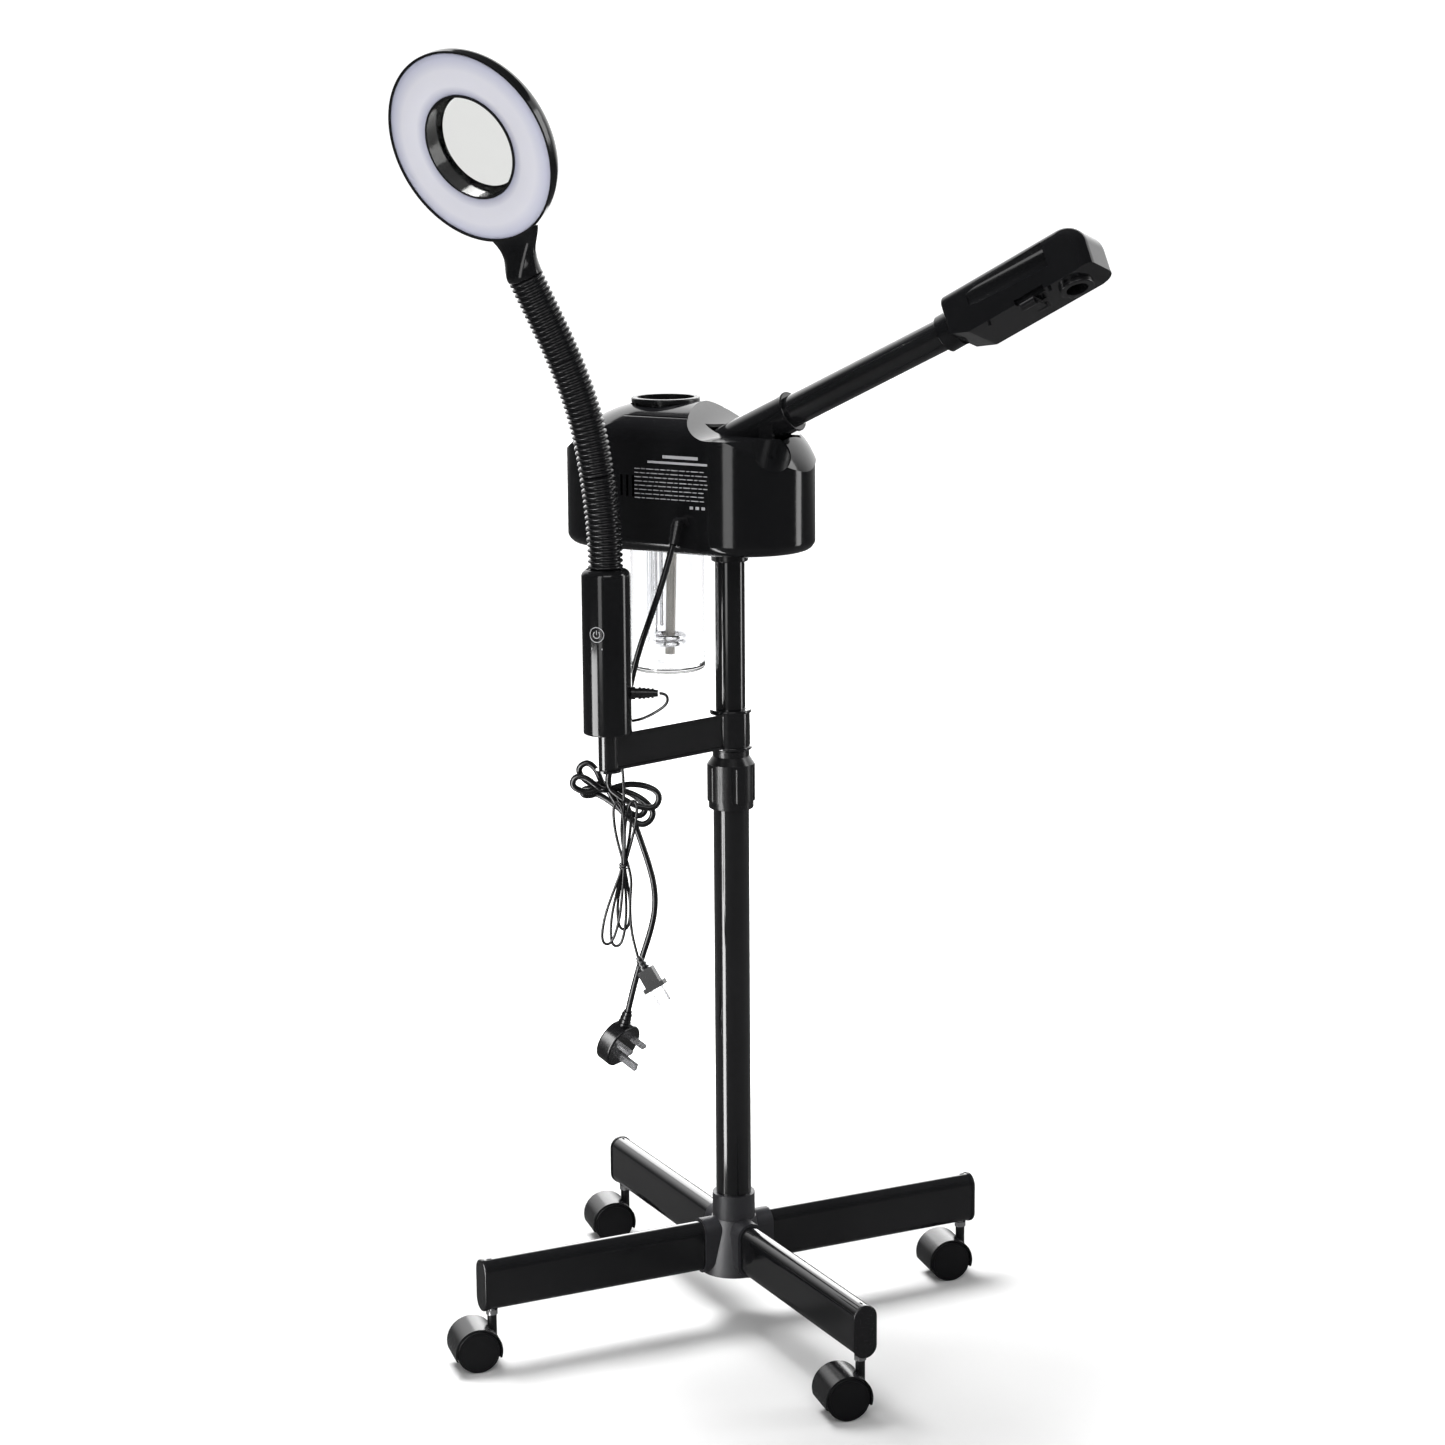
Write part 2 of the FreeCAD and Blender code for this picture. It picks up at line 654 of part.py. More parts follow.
def rocker(at):
    """Switch rocker, in a pocket of the front cover."""
    body = box(at.x - 9.6, at.x + 9.6, at.y - 9.0, at.y + 1.2, at.z - 6.2, at.z + 6.2)
    return body.makeFillet(1.0, body.Edges)


def make_boiler(parts):
    lid = cyl(JAR_R + 4.5, JAR_TOP + 0.3, JAR_TOP + 8, JAR_X)
    jar = cyl(JAR_R, JAR_BOTTOM, JAR_TOP, JAR_X)
    jar = filleted(jar, 6.0, at_height(JAR_BOTTOM))
    inner = cyl(JAR_R - JAR_WALL, JAR_BOTTOM + 5, JAR_TOP + 1, JAR_X)
    inner = filleted(inner, 4.0, at_height(JAR_BOTTOM + 5))
    foot = ring(26.0, 23.0, JAR_BOTTOM - 2, JAR_BOTTOM + 2, JAR_X)
    parts["boiler_jar"] = jar.cut(inner).fuse(foot).removeSplitter()
    top = JAR_TOP + 0.3
    coil_z = 752.0
    drop = []
    for dx, dy in ((-17.0, -9.0), (-9.0, -17.0)):
        drop.append(cyl(3.0, coil_z, top, JAR_X + dx, dy))
    turns = [Part.makeTorus(16.0, 3.0, V(JAR_X, 0, coil_z - 6.4 * i)) for i in range(2)]
    feet = [Part.makeSphere(3.0, V(JAR_X + dx, dy, coil_z))
            for dx, dy in ((-17.0, -9.0), (-9.0, -17.0))]
    coil = drop[0]
    for piece in drop[1:] + feet + turns:
        coil = coil.fuse(piece)
    bridge = rod(2.6, V(JAR_X - 16, 0, coil_z), V(JAR_X - 16, 0, coil_z - 6.4))
    parts["heater_coil"] = coil.fuse(bridge).removeSplitter()
    tube = rod(5.2, V(JAR_X + 2, 0, 733.0), V(JAR_X + 6, 0, top))
    parts["level_tube"] = tube.common(cyl(JAR_R, 700, top, JAR_X))
    rods = []
    for i, low in enumerate((742.0, 742.0, 760.0)):
        rods.append(cyl(2.4, low, top, JAR_X - 27.0 + 5.5 * i, 6.0 + 4.0 * i))
    parts["probe_rods"] = group(*rods)
    parts["boiler_lid"] = lid


# ---- steam arm and head -------------------------------------------------

def arm_frame():
    """Placement with x along the arm, in the housing's frame."""
    return FreeCAD.Placement(ARM_ROOT, FreeCAD.Rotation(Y_AXIS, -ARM_TILT))


def nose_frame():
    roll = FreeCAD.Rotation(X_AXIS, NOSE_ROLL)
    pitch = FreeCAD.Rotation(Y_AXIS, -NOSE_PITCH)
    step = FreeCAD.Placement(V(NOSE_AT, 0, 0), roll.multiply(pitch))
    return arm_frame().multiply(step)


def arm_shoe():
    """Root socket of the arm with two ears that reach down to the pivot."""
    body = Part.makeCylinder(SHOE_R, SHOE_FRONT - SHOE_BACK, V(SHOE_BACK, 0, 0), X_AXIS)
    lip = Part.makeCylinder(SHOE_R + 1.6, 3.0, V(SHOE_FRONT - 3, 0, 0), X_AXIS)
    lip = lip.makeFillet(1.0, lip.Edges)
    body = body.fuse(lip)
    room = Part.makeCylinder(ARM_R, 60, V(SHOE_FRONT - 50, 0, 0), X_AXIS)
    duct = Part.makeCylinder(ARM_R - 4, 200, V(SHOE_BACK - 5, 0, 0), X_AXIS)
    body = body.cut(room).cut(duct)
    body = placed(body, arm_frame())
    for low in (EAR_HALF - 5.0, -EAR_HALF):
        ear = box(ARM_PIVOT.x - 11, ARM_PIVOT.x + 5, low, low + 5.0,
                  ARM_PIVOT.z, 985)
        round_end = Part.makeCylinder(8.0, 5.0, V(ARM_PIVOT.x, low, ARM_PIVOT.z), Y_AXIS)
        bore = placed(Part.makeCylinder(ARM_R, 200, V(-100, 0, 0), X_AXIS), arm_frame())
        body = body.fuse(ear.fuse(round_end).cut(bore))
    for low in (EAR_HALF - 2.0, -EAR_HALF - 6.0):
        stub = Part.makeCylinder(TRUNNION_R, 8.0, V(ARM_PIVOT.x, low, ARM_PIVOT.z), Y_AXIS)
        body = body.fuse(stub)
    return body.removeSplitter()


def arm_tube():
    start = SHOE_FRONT - 50
    outer = Part.makeCylinder(ARM_R, ARM_LENGTH - start, V(start, 0, 0), X_AXIS)
    inner = Part.makeCylinder(ARM_R - ARM_WALL, ARM_LENGTH - start + 2,
                              V(start - 1, 0, 0), X_AXIS)
    return placed(outer.cut(inner), arm_frame())


def nose_block(inset, x0, x1, z0, z1, top_round):
    half = NOSE_HALF - inset
    block = box(x0, x1, -half, half, z0, z1)
    if top_round:
        long_top = [e for e in block.Edges if e.BoundBox.ZMin > z1 - 0.01
                    and e.BoundBox.XLength > 10]
        block = block.makeFillet(top_round, long_top)
    return block


def side_scallops(wall):
    """Hollows in both flanks, deepening to a sharp front end."""
    radius = 16.0
    tools = []
    for side in (1, -1):
        start = V(32.0 - wall, side * (NOSE_HALF + radius - 1.5), 6.5)
        end = V(124.0 + wall, side * (NOSE_HALF + radius - 9.0), 8.5)
        tools.append(rod(radius + wall, start, end))
    return tools[0].fuse(tools[1])


def head_shell():
    outer = nose_block(0, 0, CAP_START, NOSE_SPLIT, NOSE_TOP, NOSE_ROUND)
    rear_edges = [e for e in outer.Edges if e.BoundBox.XMax < 0.01
                  and e.BoundBox.ZMax > 0]
    outer = outer.makeFillet(4.0, rear_edges)
    inner = nose_block(WALL, 6, NOSE_LENGTH, NOSE_SPLIT - 5, NOSE_TOP - WALL,
                       NOSE_ROUND - WALL)
    shell = outer.cut(side_scallops(0)).cut(inner.cut(side_scallops(WALL)))
    neck = Part.makeCylinder(ARM_R + 3.2, 17, V(-16.5, 0, 0), X_AXIS)
    neck = neck.makeFillet(1.0, [e for e in neck.Edges if e.BoundBox.XMax < -16])
    neck_inside = Part.makeCylinder(ARM_R + 3.0, 14, V(0, 0, 0), X_AXIS)
    neck_inside = neck_inside.common(box(0, 30, -40, 40, NOSE_SPLIT + GAP, 40))
    return shell.fuse(neck).fuse(neck_inside)


def head_base():
    """Lower tray of the steam head, with the nozzle's hole."""
    outline = [
        V(0, -NOSE_HALF, NOSE_SPLIT), V(NOSE_LENGTH, -NOSE_HALF, NOSE_SPLIT),
        V(NOSE_LENGTH, -NOSE_HALF, NOSE_BOTTOM + 3),
        V(NOSE_LENGTH - 16, -NOSE_HALF, NOSE_BOTTOM),
        V(22, -NOSE_HALF, NOSE_BOTTOM), V(0, -NOSE_HALF, NOSE_BOTTOM + 9),
    ]
    outer = prism(outline, V(0, 2 * NOSE_HALF, 0))
    corners = [e for e in outer.Edges if e.BoundBox.XMin > NOSE_LENGTH - 0.01
               and e.BoundBox.ZLength > 5 and e.BoundBox.YLength < 0.01]
    outer = outer.makeFillet(NOSE_ROUND, corners)
    inner = box(5, NOSE_LENGTH - 10, -NOSE_HALF + WALL, NOSE_HALF - WALL,
                NOSE_BOTTOM + WALL + 6, NOSE_SPLIT + 1)
    slot = box(78, 112, -NOSE_HALF - 1, -NOSE_HALF + 5, NOSE_BOTTOM - 1, NOSE_BOTTOM + 5)
    tray = outer.cut(inner).cut(slot)
    tray = tray.cut(cyl(NOZZLE_R + 4.0, NOSE_BOTTOM - 5, NOSE_SPLIT - 1, NOZZLE_X))
    for x in (44.0, 116.5):
        tray = tray.fuse(cyl(1.8, NOSE_BOTTOM - 4, NOSE_BOTTOM + 3, x, -NOSE_HALF + 4.5))
    return tray.removeSplitter()


def brow(inset):
    """Block whose front top corner is round in both directions."""
    far = NOSE_LENGTH - inset
    top = NOSE_TOP - inset
    low = NOSE_SPLIT
    half = NOSE_HALF - inset
    r = NOSE_BROW - inset
    k = r * (1 - math.sqrt(0.5))
    edges = lines(V(far - r, -half, top), V(CAP_START, -half, top),
                  V(CAP_START, -half, low), V(far, -half, low), V(far, -half, top - r))
    bend = Part.Arc(V(far, -half, top - r), V(far - k, -half, top - k),
                    V(far - r, -half, top))
    block = Part.Face(Part.Wire(edges + [bend.toShape()])).extrude(V(0, 2 * half, 0))
    rim = [e for e in block.Edges if e.BoundBox.YLength < 0.01
           and e.BoundBox.ZMax > low + 1 and e.BoundBox.XMax > CAP_START + 1]
    return block.makeFillet(NOSE_ROUND - inset, rim)


def head_front_cap():
    return brow(0).cut(brow(WALL))


def nozzle_ring():
    body = ring(NOZZLE_R + 4.0, NOZZLE_R, NOSE_BOTTOM - 5, NOSE_SPLIT - 1, NOZZLE_X)
    lip = ring(NOZZLE_R + 6.0, NOZZLE_R, NOSE_BOTTOM - 5, NOSE_BOTTOM - GAP, NOZZLE_X)
    lip = filleted(lip, 1.2, at_height(NOSE_BOTTOM - 5))
    return body.fuse(lip).removeSplitter()


def nozzle_lever():
    """Small tab that turns on a cross pin below the near edge."""
    pin_z = NOSE_BOTTOM - 5.0
    tab = box(92, 101, -NOSE_HALF - 6, -4.0, pin_z - 2.0, pin_z + 2.0)
    barrel = Part.makeCylinder(4.0, 16.0, V(88, -NOSE_HALF - 7, pin_z - 5), X_AXIS)
    hole = Part.makeCylinder(2.4, 20.0, V(90, -NOSE_HALF - 7, pin_z - 5), X_AXIS)
    knuckle = Part.makeCylinder(3.0, 12.0, V(90.5, -4.0, pin_z), X_AXIS)
    return tab.fuse(barrel).fuse(knuckle).cut(hole).removeSplitter()


def make_arm(parts):
    parts["arm_shoe"] = arm_shoe()
    parts["arm_tube"] = arm_tube()
    frame = nose_frame()
    axis_bore = placed(Part.makeCylinder(ARM_R + RUN, ARM_LENGTH + GAP, V(0, 0, 0),
                                         X_AXIS), arm_frame())
    makers = {
        "head_shell": head_shell, "head_base": head_base,
        "head_front_cap": head_front_cap, "nozzle_ring": nozzle_ring,
        "nozzle_lever": nozzle_lever,
    }
    for name, make in makers.items():
        shape = placed(make(), frame)
        if name in ("head_shell", "head_base"):
            shape = largest(shape.cut(axis_bore))
        if name == "head_base":
            shape = largest(shape.cut(parts["head_shell"]))
        parts[name] = shape


# ---- lamp bracket and handle --------------------------------------------

def lamp_bracket():
    low = BAR_BOTTOM
    high = BAR_TOP
    reach = BAR_LENGTH
    body = cyl(SLEEVE_R, low, high)
    for z0 in (low - 3.0, high - 1.0):
        lip = cyl(SLEEVE_R + 1.8, z0, z0 + 3.6)
        body = body.fuse(lip.makeFillet(1.2, lip.Edges))
    body = body.fuse(box(0, reach, -BAR_HALF, BAR_HALF, low, high))
    for z0 in (low, high - 2.4):
        body = body.fuse(box(0, reach, -BAR_HALF - 2, BAR_HALF + 2, z0, z0 + 2.4))
    tube = cyl(PIN_TUBE_R, low - 1.5, high, reach)
    flange = cyl(PIN_TUBE_R + 3, low - 2.5, low, reach)
    body = body.fuse(tube).fuse(flange)
    body = body.cut(cyl(UPPER_R + GAP, low - 10, high + 10))
    return body.cut(cyl(PIN_R + RUN, low - 10, high + 10, reach)).removeSplitter()


def handle_body():
    body = cyl(HANDLE_R, HANDLE_BOTTOM, HANDLE_TOP)
    body = filleted(body, 7.0, at_height(HANDLE_TOP))
    body = filleted(body, 2.0, at_height(HANDLE_BOTTOM))
    pin = cyl(PIN_R, BAR_BOTTOM - 1.0, HANDLE_BOTTOM + 1)
    return body.fuse(pin)


def lamp_jack():
    """Ribbed barrel of the lead's plug, pushed into the handle's side."""
    barrel = Part.makeCylinder(5.0, 11.0, V(HANDLE_R - 0.2, 0, JACK_Z), X_AXIS)
    root = Part.makeCylinder(6.4, 4.0, V(HANDLE_R - 0.2, 0, JACK_Z), X_AXIS)
    taper = Part.makeCone(5.4, 3.4, JACK_END - HANDLE_R - 10, V(HANDLE_R + 10, 0, JACK_Z),
                          X_AXIS)
    body = barrel.fuse(root).fuse(taper)
    for i in range(4):
        x = HANDLE_R + 7.0 + 4.4 * i
        body = body.fuse(Part.makeCylinder(6.2 - 0.4 * i, 2.4, V(x, 0, JACK_Z), X_AXIS))
    body = body.cut(cyl(HANDLE_R, JACK_Z - 20, JACK_Z + 20))
    return turned(body.removeSplitter(), JACK_YAW)


# ---- gooseneck ----------------------------------------------------------

def neck_stations():
    """Joint points and headings along the gooseneck, in its own plane."""
    stations = [(V(0, 0, HANDLE_TOP), NECK_HEADINGS[0])]
    for before, after in zip(NECK_HEADINGS[:-1], NECK_HEADINGS[1:]):
        last = stations[-1][0]
        mean = math.radians((before + after) / 2)
        turn = math.radians(after - before) / 2
        chord = NECK_STEP * (math.sin(turn) / turn if turn else 1.0)
        point = last + V(math.sin(mean), 0, math.cos(mean)) * chord
        stations.append((point, after))
    return stations


def neck_point(index, fraction):
    """Point and heading part of the way along one gooseneck segment."""
    start, heading = neck_stations()[index]
    end = neck_stations()[index + 1][1]
    here = heading + (end - heading) * fraction
    mean = math.radians((heading + here) / 2)
    point = start + V(math.sin(mean), 0, math.cos(mean)) * (NECK_STEP * fraction)
    return point, here


def neck_disc(index, fraction, radius, thickness):
    point, heading = neck_point(index, fraction)
    tangent = V(math.sin(math.radians(heading)), 0, math.cos(math.radians(heading)))
    return Part.makeCylinder(radius, thickness, point - tangent * (thickness / 2),
                             tangent)


def gooseneck_segment(index):
    last = len(NECK_HEADINGS) - 2
    low = 0.0 if index == 0 else NECK_GAP / NECK_STEP
    high = 1.0 if index == last else 1.0 - NECK_GAP / NECK_STEP
    a = neck_point(index, low)[0]
    m = neck_point(index, (low + high) / 2)[0]
    b = neck_point(index, high)[0]
    tangent = V(math.sin(math.radians(neck_point(index, low)[1])), 0,
                math.cos(math.radians(neck_point(index, low)[1])))
    straight = (b - a).getAngle(m - a) < 1e-4
    spine = Part.LineSegment(a, b) if straight else Part.Arc(a, m, b)
    section = Part.Wire(Part.Circle(a, tangent, NECK_CORE).toShape())
    body = Part.Wire([spine.toShape()]).makePipeShell([section], True, True)
    rib = 3.0
    for i in range(RIBS_PER_STEP):
        share = low + (high - low) * (i + 0.5) / RIBS_PER_STEP
        body = body.fuse(neck_disc(index, share, NECK_R, rib))
    if index < last:
        body = body.fuse(Part.makeSphere(NECK_KNUCKLE, neck_point(index, 1.0)[0]))
        body = body.fuse(neck_disc(index, 1.0 - 4.0 / NECK_STEP, NECK_CORE - 4, 8.0))
    if index > 0:
        body = body.cut(Part.makeSphere(NECK_KNUCKLE + GAP, neck_point(index, 0.0)[0]))
    return body


# ---- lamp head ----------------------------------------------------------

def lamp_ring():
    """Round casing with a bore, open at the front for the diffuser."""
    depth = -LAMP_DEPTH
    edge = LAMP_EDGE
    lip = 47.5
    k = math.sqrt(0.5)
    outer_mid = V(depth + edge * (1 - k), 0, LAMP_R - edge * (1 - k))
    inner_edge = edge - WALL
    inner_mid = V(depth + WALL + inner_edge * (1 - k), 0,
                  LAMP_R - WALL - inner_edge * (1 - k))
    edges = lines(V(0, 0, LAMP_R), V(depth + edge, 0, LAMP_R))
    edges.append(Part.Arc(V(depth + edge, 0, LAMP_R), outer_mid,
                          V(depth, 0, LAMP_R - edge)).toShape())
    edges += lines(V(depth, 0, LAMP_R - edge), V(depth, 0, lip),
                   V(depth + 1.6, 0, lip), V(depth + 1.6, 0, LAMP_HOLE),
                   V(0, 0, LAMP_HOLE), V(0, 0, LAMP_HOLE + 2.3),
                   V(depth + WALL, 0, LAMP_HOLE + 2.3),
                   V(depth + WALL, 0, LAMP_R - edge))
    edges.append(Part.Arc(V(depth + WALL, 0, LAMP_R - edge), inner_mid,
                          V(depth + edge, 0, LAMP_R - WALL)).toShape())
    edges += lines(V(depth + edge, 0, LAMP_R - WALL), V(0, 0, LAMP_R - WALL),
                   V(0, 0, LAMP_R))
    return revolved(edges, V(0, 0, 0), X_AXIS)


def ellipse_wire(centre, half_x, half_y):
    """Flat oval, longer along y."""
    curve = Part.Ellipse(centre + V(0, half_y, 0), centre + V(half_x, 0, 0), centre)
    return Part.Wire(curve.toShape())


def lamp_neck():
    """Flared yoke between the casing and the gooseneck."""
    mid = -LAMP_DEPTH / 2
    stages = [(-84.0, mid, 9.0, 33.0), (-98.0, mid + 1, 9.5, 30.0),
              (-112.0, mid + 4, 12.0, 21.0), (-124.0, -2.0, 16.2, 18.0),
              (-LAMP_NECK, 0.0, 17.6, 18.0)]
    wires = [ellipse_wire(V(x, 0, z), half_x, half_y)
             for z, x, half_x, half_y in stages]
    yoke = Part.makeLoft(wires, True, False)
    inside = Part.makeCylinder(LAMP_R - 1.0, 60, V(-40, 0, 0), X_AXIS)
    return yoke.cut(inside)


def lamp_shell():
    body = lamp_ring().fuse(lamp_neck())
    screw = Part.makeCylinder(3.4, 3.0, V(10.6, 6.0, -116.0), X_AXIS)
    return body.cut(screw).removeSplitter()


def diffuser():
    r0 = LAMP_HOLE + 2.5
    r1 = LAMP_R - WALL - 0.2
    middle = (r0 + r1) / 2
    edges = lines(V(-1.2, 0, r1), V(-4.4, 0, r1), V(-4.4, 0, r0), V(-1.2, 0, r0))
    edges.append(Part.Arc(V(-1.2, 0, r0), V(2.2, 0, middle), V(-1.2, 0, r1)).toShape())
    return revolved(edges, V(0, 0, 0), X_AXIS)


def lens():
    """Flat at the back, gently domed towards the face."""
    thick = 6.0
    rim = 2.4
    r = LAMP_HOLE - 0.3
    dome = (r * r + (thick - rim) ** 2) / (2 * (thick - rim))
    x0 = -LAMP_DEPTH + 1.8
    disc = Part.makeCylinder(r, thick + 1, V(x0, 0, 0), X_AXIS)
    return disc.common(Part.makeSphere(dome, V(x0 + thick - dome, 0, 0)))


def lamp_frame():
    """Placement of the lamp head in the gooseneck's frame."""
    end = neck_stations()[-1][0]
    tilt = FreeCAD.Rotation(Y_AXIS, LAMP_TILT)
    rotation = tilt.multiply(FreeCAD.Rotation(Z_AXIS, LAMP_TURN))
    up = rotation.multVec(V(0, 0, LAMP_NECK))
    return FreeCAD.Placement(end + up, rotation)


def handle_at():
    angle = math.radians(BRACKET_YAW)
    return V(BAR_LENGTH * math.cos(angle), BAR_LENGTH * math.sin(angle), 0)


def neck_frame():
    return FreeCAD.Placement(handle_at(), FreeCAD.Rotation(Z_AXIS, NECK_YAW))


def make_lamp(parts):
    parts["lamp_bracket"] = turned(lamp_bracket(), BRACKET_YAW)
    here = FreeCAD.Placement(handle_at(), FreeCAD.Rotation())
    parts["handle_body"] = placed(handle_body(), here)
    parts["lamp_jack"] = placed(lamp_jack(), here)
    for index in range(len(NECK_HEADINGS) - 1):
        name = "gooseneck_" + str(index + 1)
        parts[name] = placed(gooseneck_segment(index), neck_frame())
    frame = neck_frame().multiply(lamp_frame())
    parts["lamp_shell"] = placed(lamp_shell(), frame)
    parts["diffuser"] = placed(diffuser(), frame)
    parts["lens"] = placed(lens(), frame)
    parts["gooseneck_5"] = largest(parts["gooseneck_5"].cut(parts["lamp_shell"]))


# ---- cords, hanks and plugs ---------------------------------------------

def hang_axes():
    angle = math.radians(HANG_YAW)
    side = V(math.cos(angle), math.sin(angle), 0)
    back = V(-math.sin(angle), math.cos(angle), 0)
    return side, back


def oval_slab(side_at, z, half_side, half_z, back_at, thickness):
    """Flat oval lobe of a hank, standing in the hanging plane."""
    side, back = hang_axes()
    centre = side * side_at + Z_AXIS * z + back * (back_at - thickness / 2)
    if half_side >= half_z:
        curve = Part.Ellipse(centre + side * half_side, centre + Z_AXIS * half_z, centre)
    else:
        curve = Part.Ellipse(centre + Z_AXIS * half_z, centre + side * half_side, centre)
    return Part.Face(Part.Wire(curve.toShape())).extrude(back * thickness)


def mains_hank():
    left = oval_slab(-150.5, 614.5, 19.0, 16.5, MAINS_HANK_BACK, 20.0)
    right = oval_slab(-101.5, 585.5, 31.5, 26.0, MAINS_HANK_BACK, 24.0)
    tie = oval_slab(-133.0, 602.5, 11.0, 12.0, MAINS_HANK_BACK, 22.0)
    return left.fuse(tie).fuse(right).removeSplitter()


def lamp_hank():
    upper = oval_slab(-109.0, 568.0, 14.5, 36.0, LAMP_HANK_BACK, 13.0)
    lower = oval_slab(-119.0, 487.0, 17.0, 43.0, LAMP_HANK_BACK, 14.0)
    tie = oval_slab(-111.7, 532.0, 6.0, 10.0, LAMP_HANK_BACK, 12.0)
    return upper.fuse(tie).fuse(lower).removeSplitter()


def plug_frame(at, axis, face):
    """Placement with x along axis and z as near to face as it can be."""
    x = V(axis)
    x.normalize()
    y = face.cross(x)
    y.normalize()
    z = x.cross(y)
    return FreeCAD.Placement(FreeCAD.Matrix(
        x.x, y.x, z.x, at.x, x.y, y.y, z.y, at.y, x.z, y.z, z.z, at.z, 0, 0, 0, 1))


def mains_plug_frame():
    side, back = hang_axes()
    axis = side * -0.27 - Z_AXIS * 0.90 + back * 0.30
    face = side * 0.72 - Z_AXIS * 0.42 - back * 0.55
    return plug_frame(V(*MAINS_TAIL[-1]), axis, face)


def mains_plug():
    relief = Part.makeCone(4.4, 6.0, 20.0, V(0, 0, 0), X_AXIS)
    for i in range(3):
        relief = relief.fuse(Part.makeCylinder(5.6 + 0.5 * i, 2.4, V(4 + 5 * i, 0, 0),
                                               X_AXIS))
    body = cyl(25.0, -9, 9, 42.0).common(box(18, 66, -25, 25, -9, 9))
    body = body.makeFillet(2.0, [e for e in body.Edges if e.BoundBox.ZLength < 0.01])
    return body.fuse(relief).removeSplitter()


def mains_plug_pins():
    pins = []
    for y in (-11.1, 11.1):
        pins.append(box(33, 37, y - 3.2, y + 3.2, 9.0, 26.7))
    pins.append(box(51, 59, -2.0, 2.0, 9.0, 31.7))
    return group(*pins)


def lamp_plug_frame():
    side, back = hang_axes()
    axis = side * 0.50 - Z_AXIS * 0.84 - back * 0.20
    face = -back * 0.9 - Z_AXIS * 0.2
    return plug_frame(V(*LAMP_TAIL[-1]), axis, face)


def lamp_plug():
    relief = Part.makeCone(2.6, 5.0, 16.0, V(0, 0, 0), X_AXIS)
    for i in range(3):
        relief = relief.fuse(Part.makeCylinder(4.0 + 0.8 * i, 2.2, V(3 + 4.4 * i, 0, 0),
                                               X_AXIS))
    body = box(15, 36, -8.5, 8.5, -6, 6).fuse(box(33, 38, -12, 12, -7, 7))
    return body.fuse(relief).removeSplitter()


def lamp_plug_blades():
    blades = [box(38, 55, y - 0.75, y + 0.75, -3.2, 3.2) for y in (-6.35, 6.35)]
    return group(*blades)


def make_cords(parts):
    lead = cord_tube(MAINS_ROUTE, MAINS_D, "mains lead")
    tail = cord_tube(MAINS_TAIL, MAINS_D, "mains tail")
    parts["mains_cord"] = group(lead, tail)
    parts["mains_hank"] = largest(mains_hank().cut(parts["mains_cord"]))
    plug = placed(mains_plug(), mains_plug_frame())
    parts["mains_plug"] = plug.cut(parts["mains_cord"])
    parts["cord_grip"] = parts["cord_grip"].cut(parts["mains_cord"])
    parts["mains_plug_pins"] = placed(mains_plug_pins(), mains_plug_frame())
    lead = cord_tube(LAMP_ROUTE, LAMP_LEAD_D, "lamp lead")
    tail = cord_tube(LAMP_TAIL, LAMP_LEAD_D, "lamp tail")
    parts["lamp_cord"] = group(lead, tail)
    parts["lamp_hank"] = largest(lamp_hank().cut(parts["lamp_cord"]))
    plug = placed(lamp_plug(), lamp_plug_frame())
    parts["lamp_plug"] = plug.cut(parts["lamp_cord"])
    parts["lamp_plug_blades"] = placed(lamp_plug_blades(), lamp_plug_frame())


# ---- assembly -----------------------------------------------------------

HEAD_FRAME = FreeCAD.Placement(V(0, 0, 0), FreeCAD.Rotation(Z_AXIS, HEAD_YAW))


def inverse_head(point):
    return HEAD_FRAME.inverse().multVec(point)


def build():
    parts = {}
    make_base(parts)
    make_casters(parts)
    make_mast(parts)
    turning = {}
    make_housing(turning)
    make_arm(turning)
    for name, shape in turning.items():
        parts[name] = placed(shape, HEAD_FRAME)
    make_lamp(parts)
    make_cords(parts)
    return {name: moved(shape, COLUMN_X, COLUMN_Y) for name, shape in parts.items()}


def main():
    os.makedirs("parts", exist_ok=True)
    parts = build()
    for name, shape in parts.items():
        if not shape.isValid():
            print("not valid:", name)
        shape.exportStep("parts/" + name + ".step")
    print(len(parts), "nodes")
    return parts


PARTS = main()
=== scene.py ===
import json
import math

import bmesh
import bpy
from mathutils import Matrix, Vector


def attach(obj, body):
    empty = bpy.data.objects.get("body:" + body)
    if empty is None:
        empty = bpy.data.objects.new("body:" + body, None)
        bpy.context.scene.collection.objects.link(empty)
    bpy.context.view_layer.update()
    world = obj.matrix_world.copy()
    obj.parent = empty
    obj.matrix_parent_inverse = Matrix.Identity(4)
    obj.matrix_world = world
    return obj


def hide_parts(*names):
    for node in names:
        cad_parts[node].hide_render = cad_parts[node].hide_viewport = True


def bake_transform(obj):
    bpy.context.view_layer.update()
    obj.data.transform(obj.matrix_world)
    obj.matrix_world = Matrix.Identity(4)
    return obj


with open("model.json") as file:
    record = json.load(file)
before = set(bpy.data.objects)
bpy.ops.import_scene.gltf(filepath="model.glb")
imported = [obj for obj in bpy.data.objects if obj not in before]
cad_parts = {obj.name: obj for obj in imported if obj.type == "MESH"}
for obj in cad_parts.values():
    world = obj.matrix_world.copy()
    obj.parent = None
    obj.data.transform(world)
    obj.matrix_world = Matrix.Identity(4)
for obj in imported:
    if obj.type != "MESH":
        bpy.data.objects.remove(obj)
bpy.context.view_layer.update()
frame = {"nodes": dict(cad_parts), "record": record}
NODES = frame["nodes"]
MM = 0.001

# The stand's column is at this place in the floor plane, as in the CAD.
COLUMN = Vector((0.028, 0.022, 0.0))


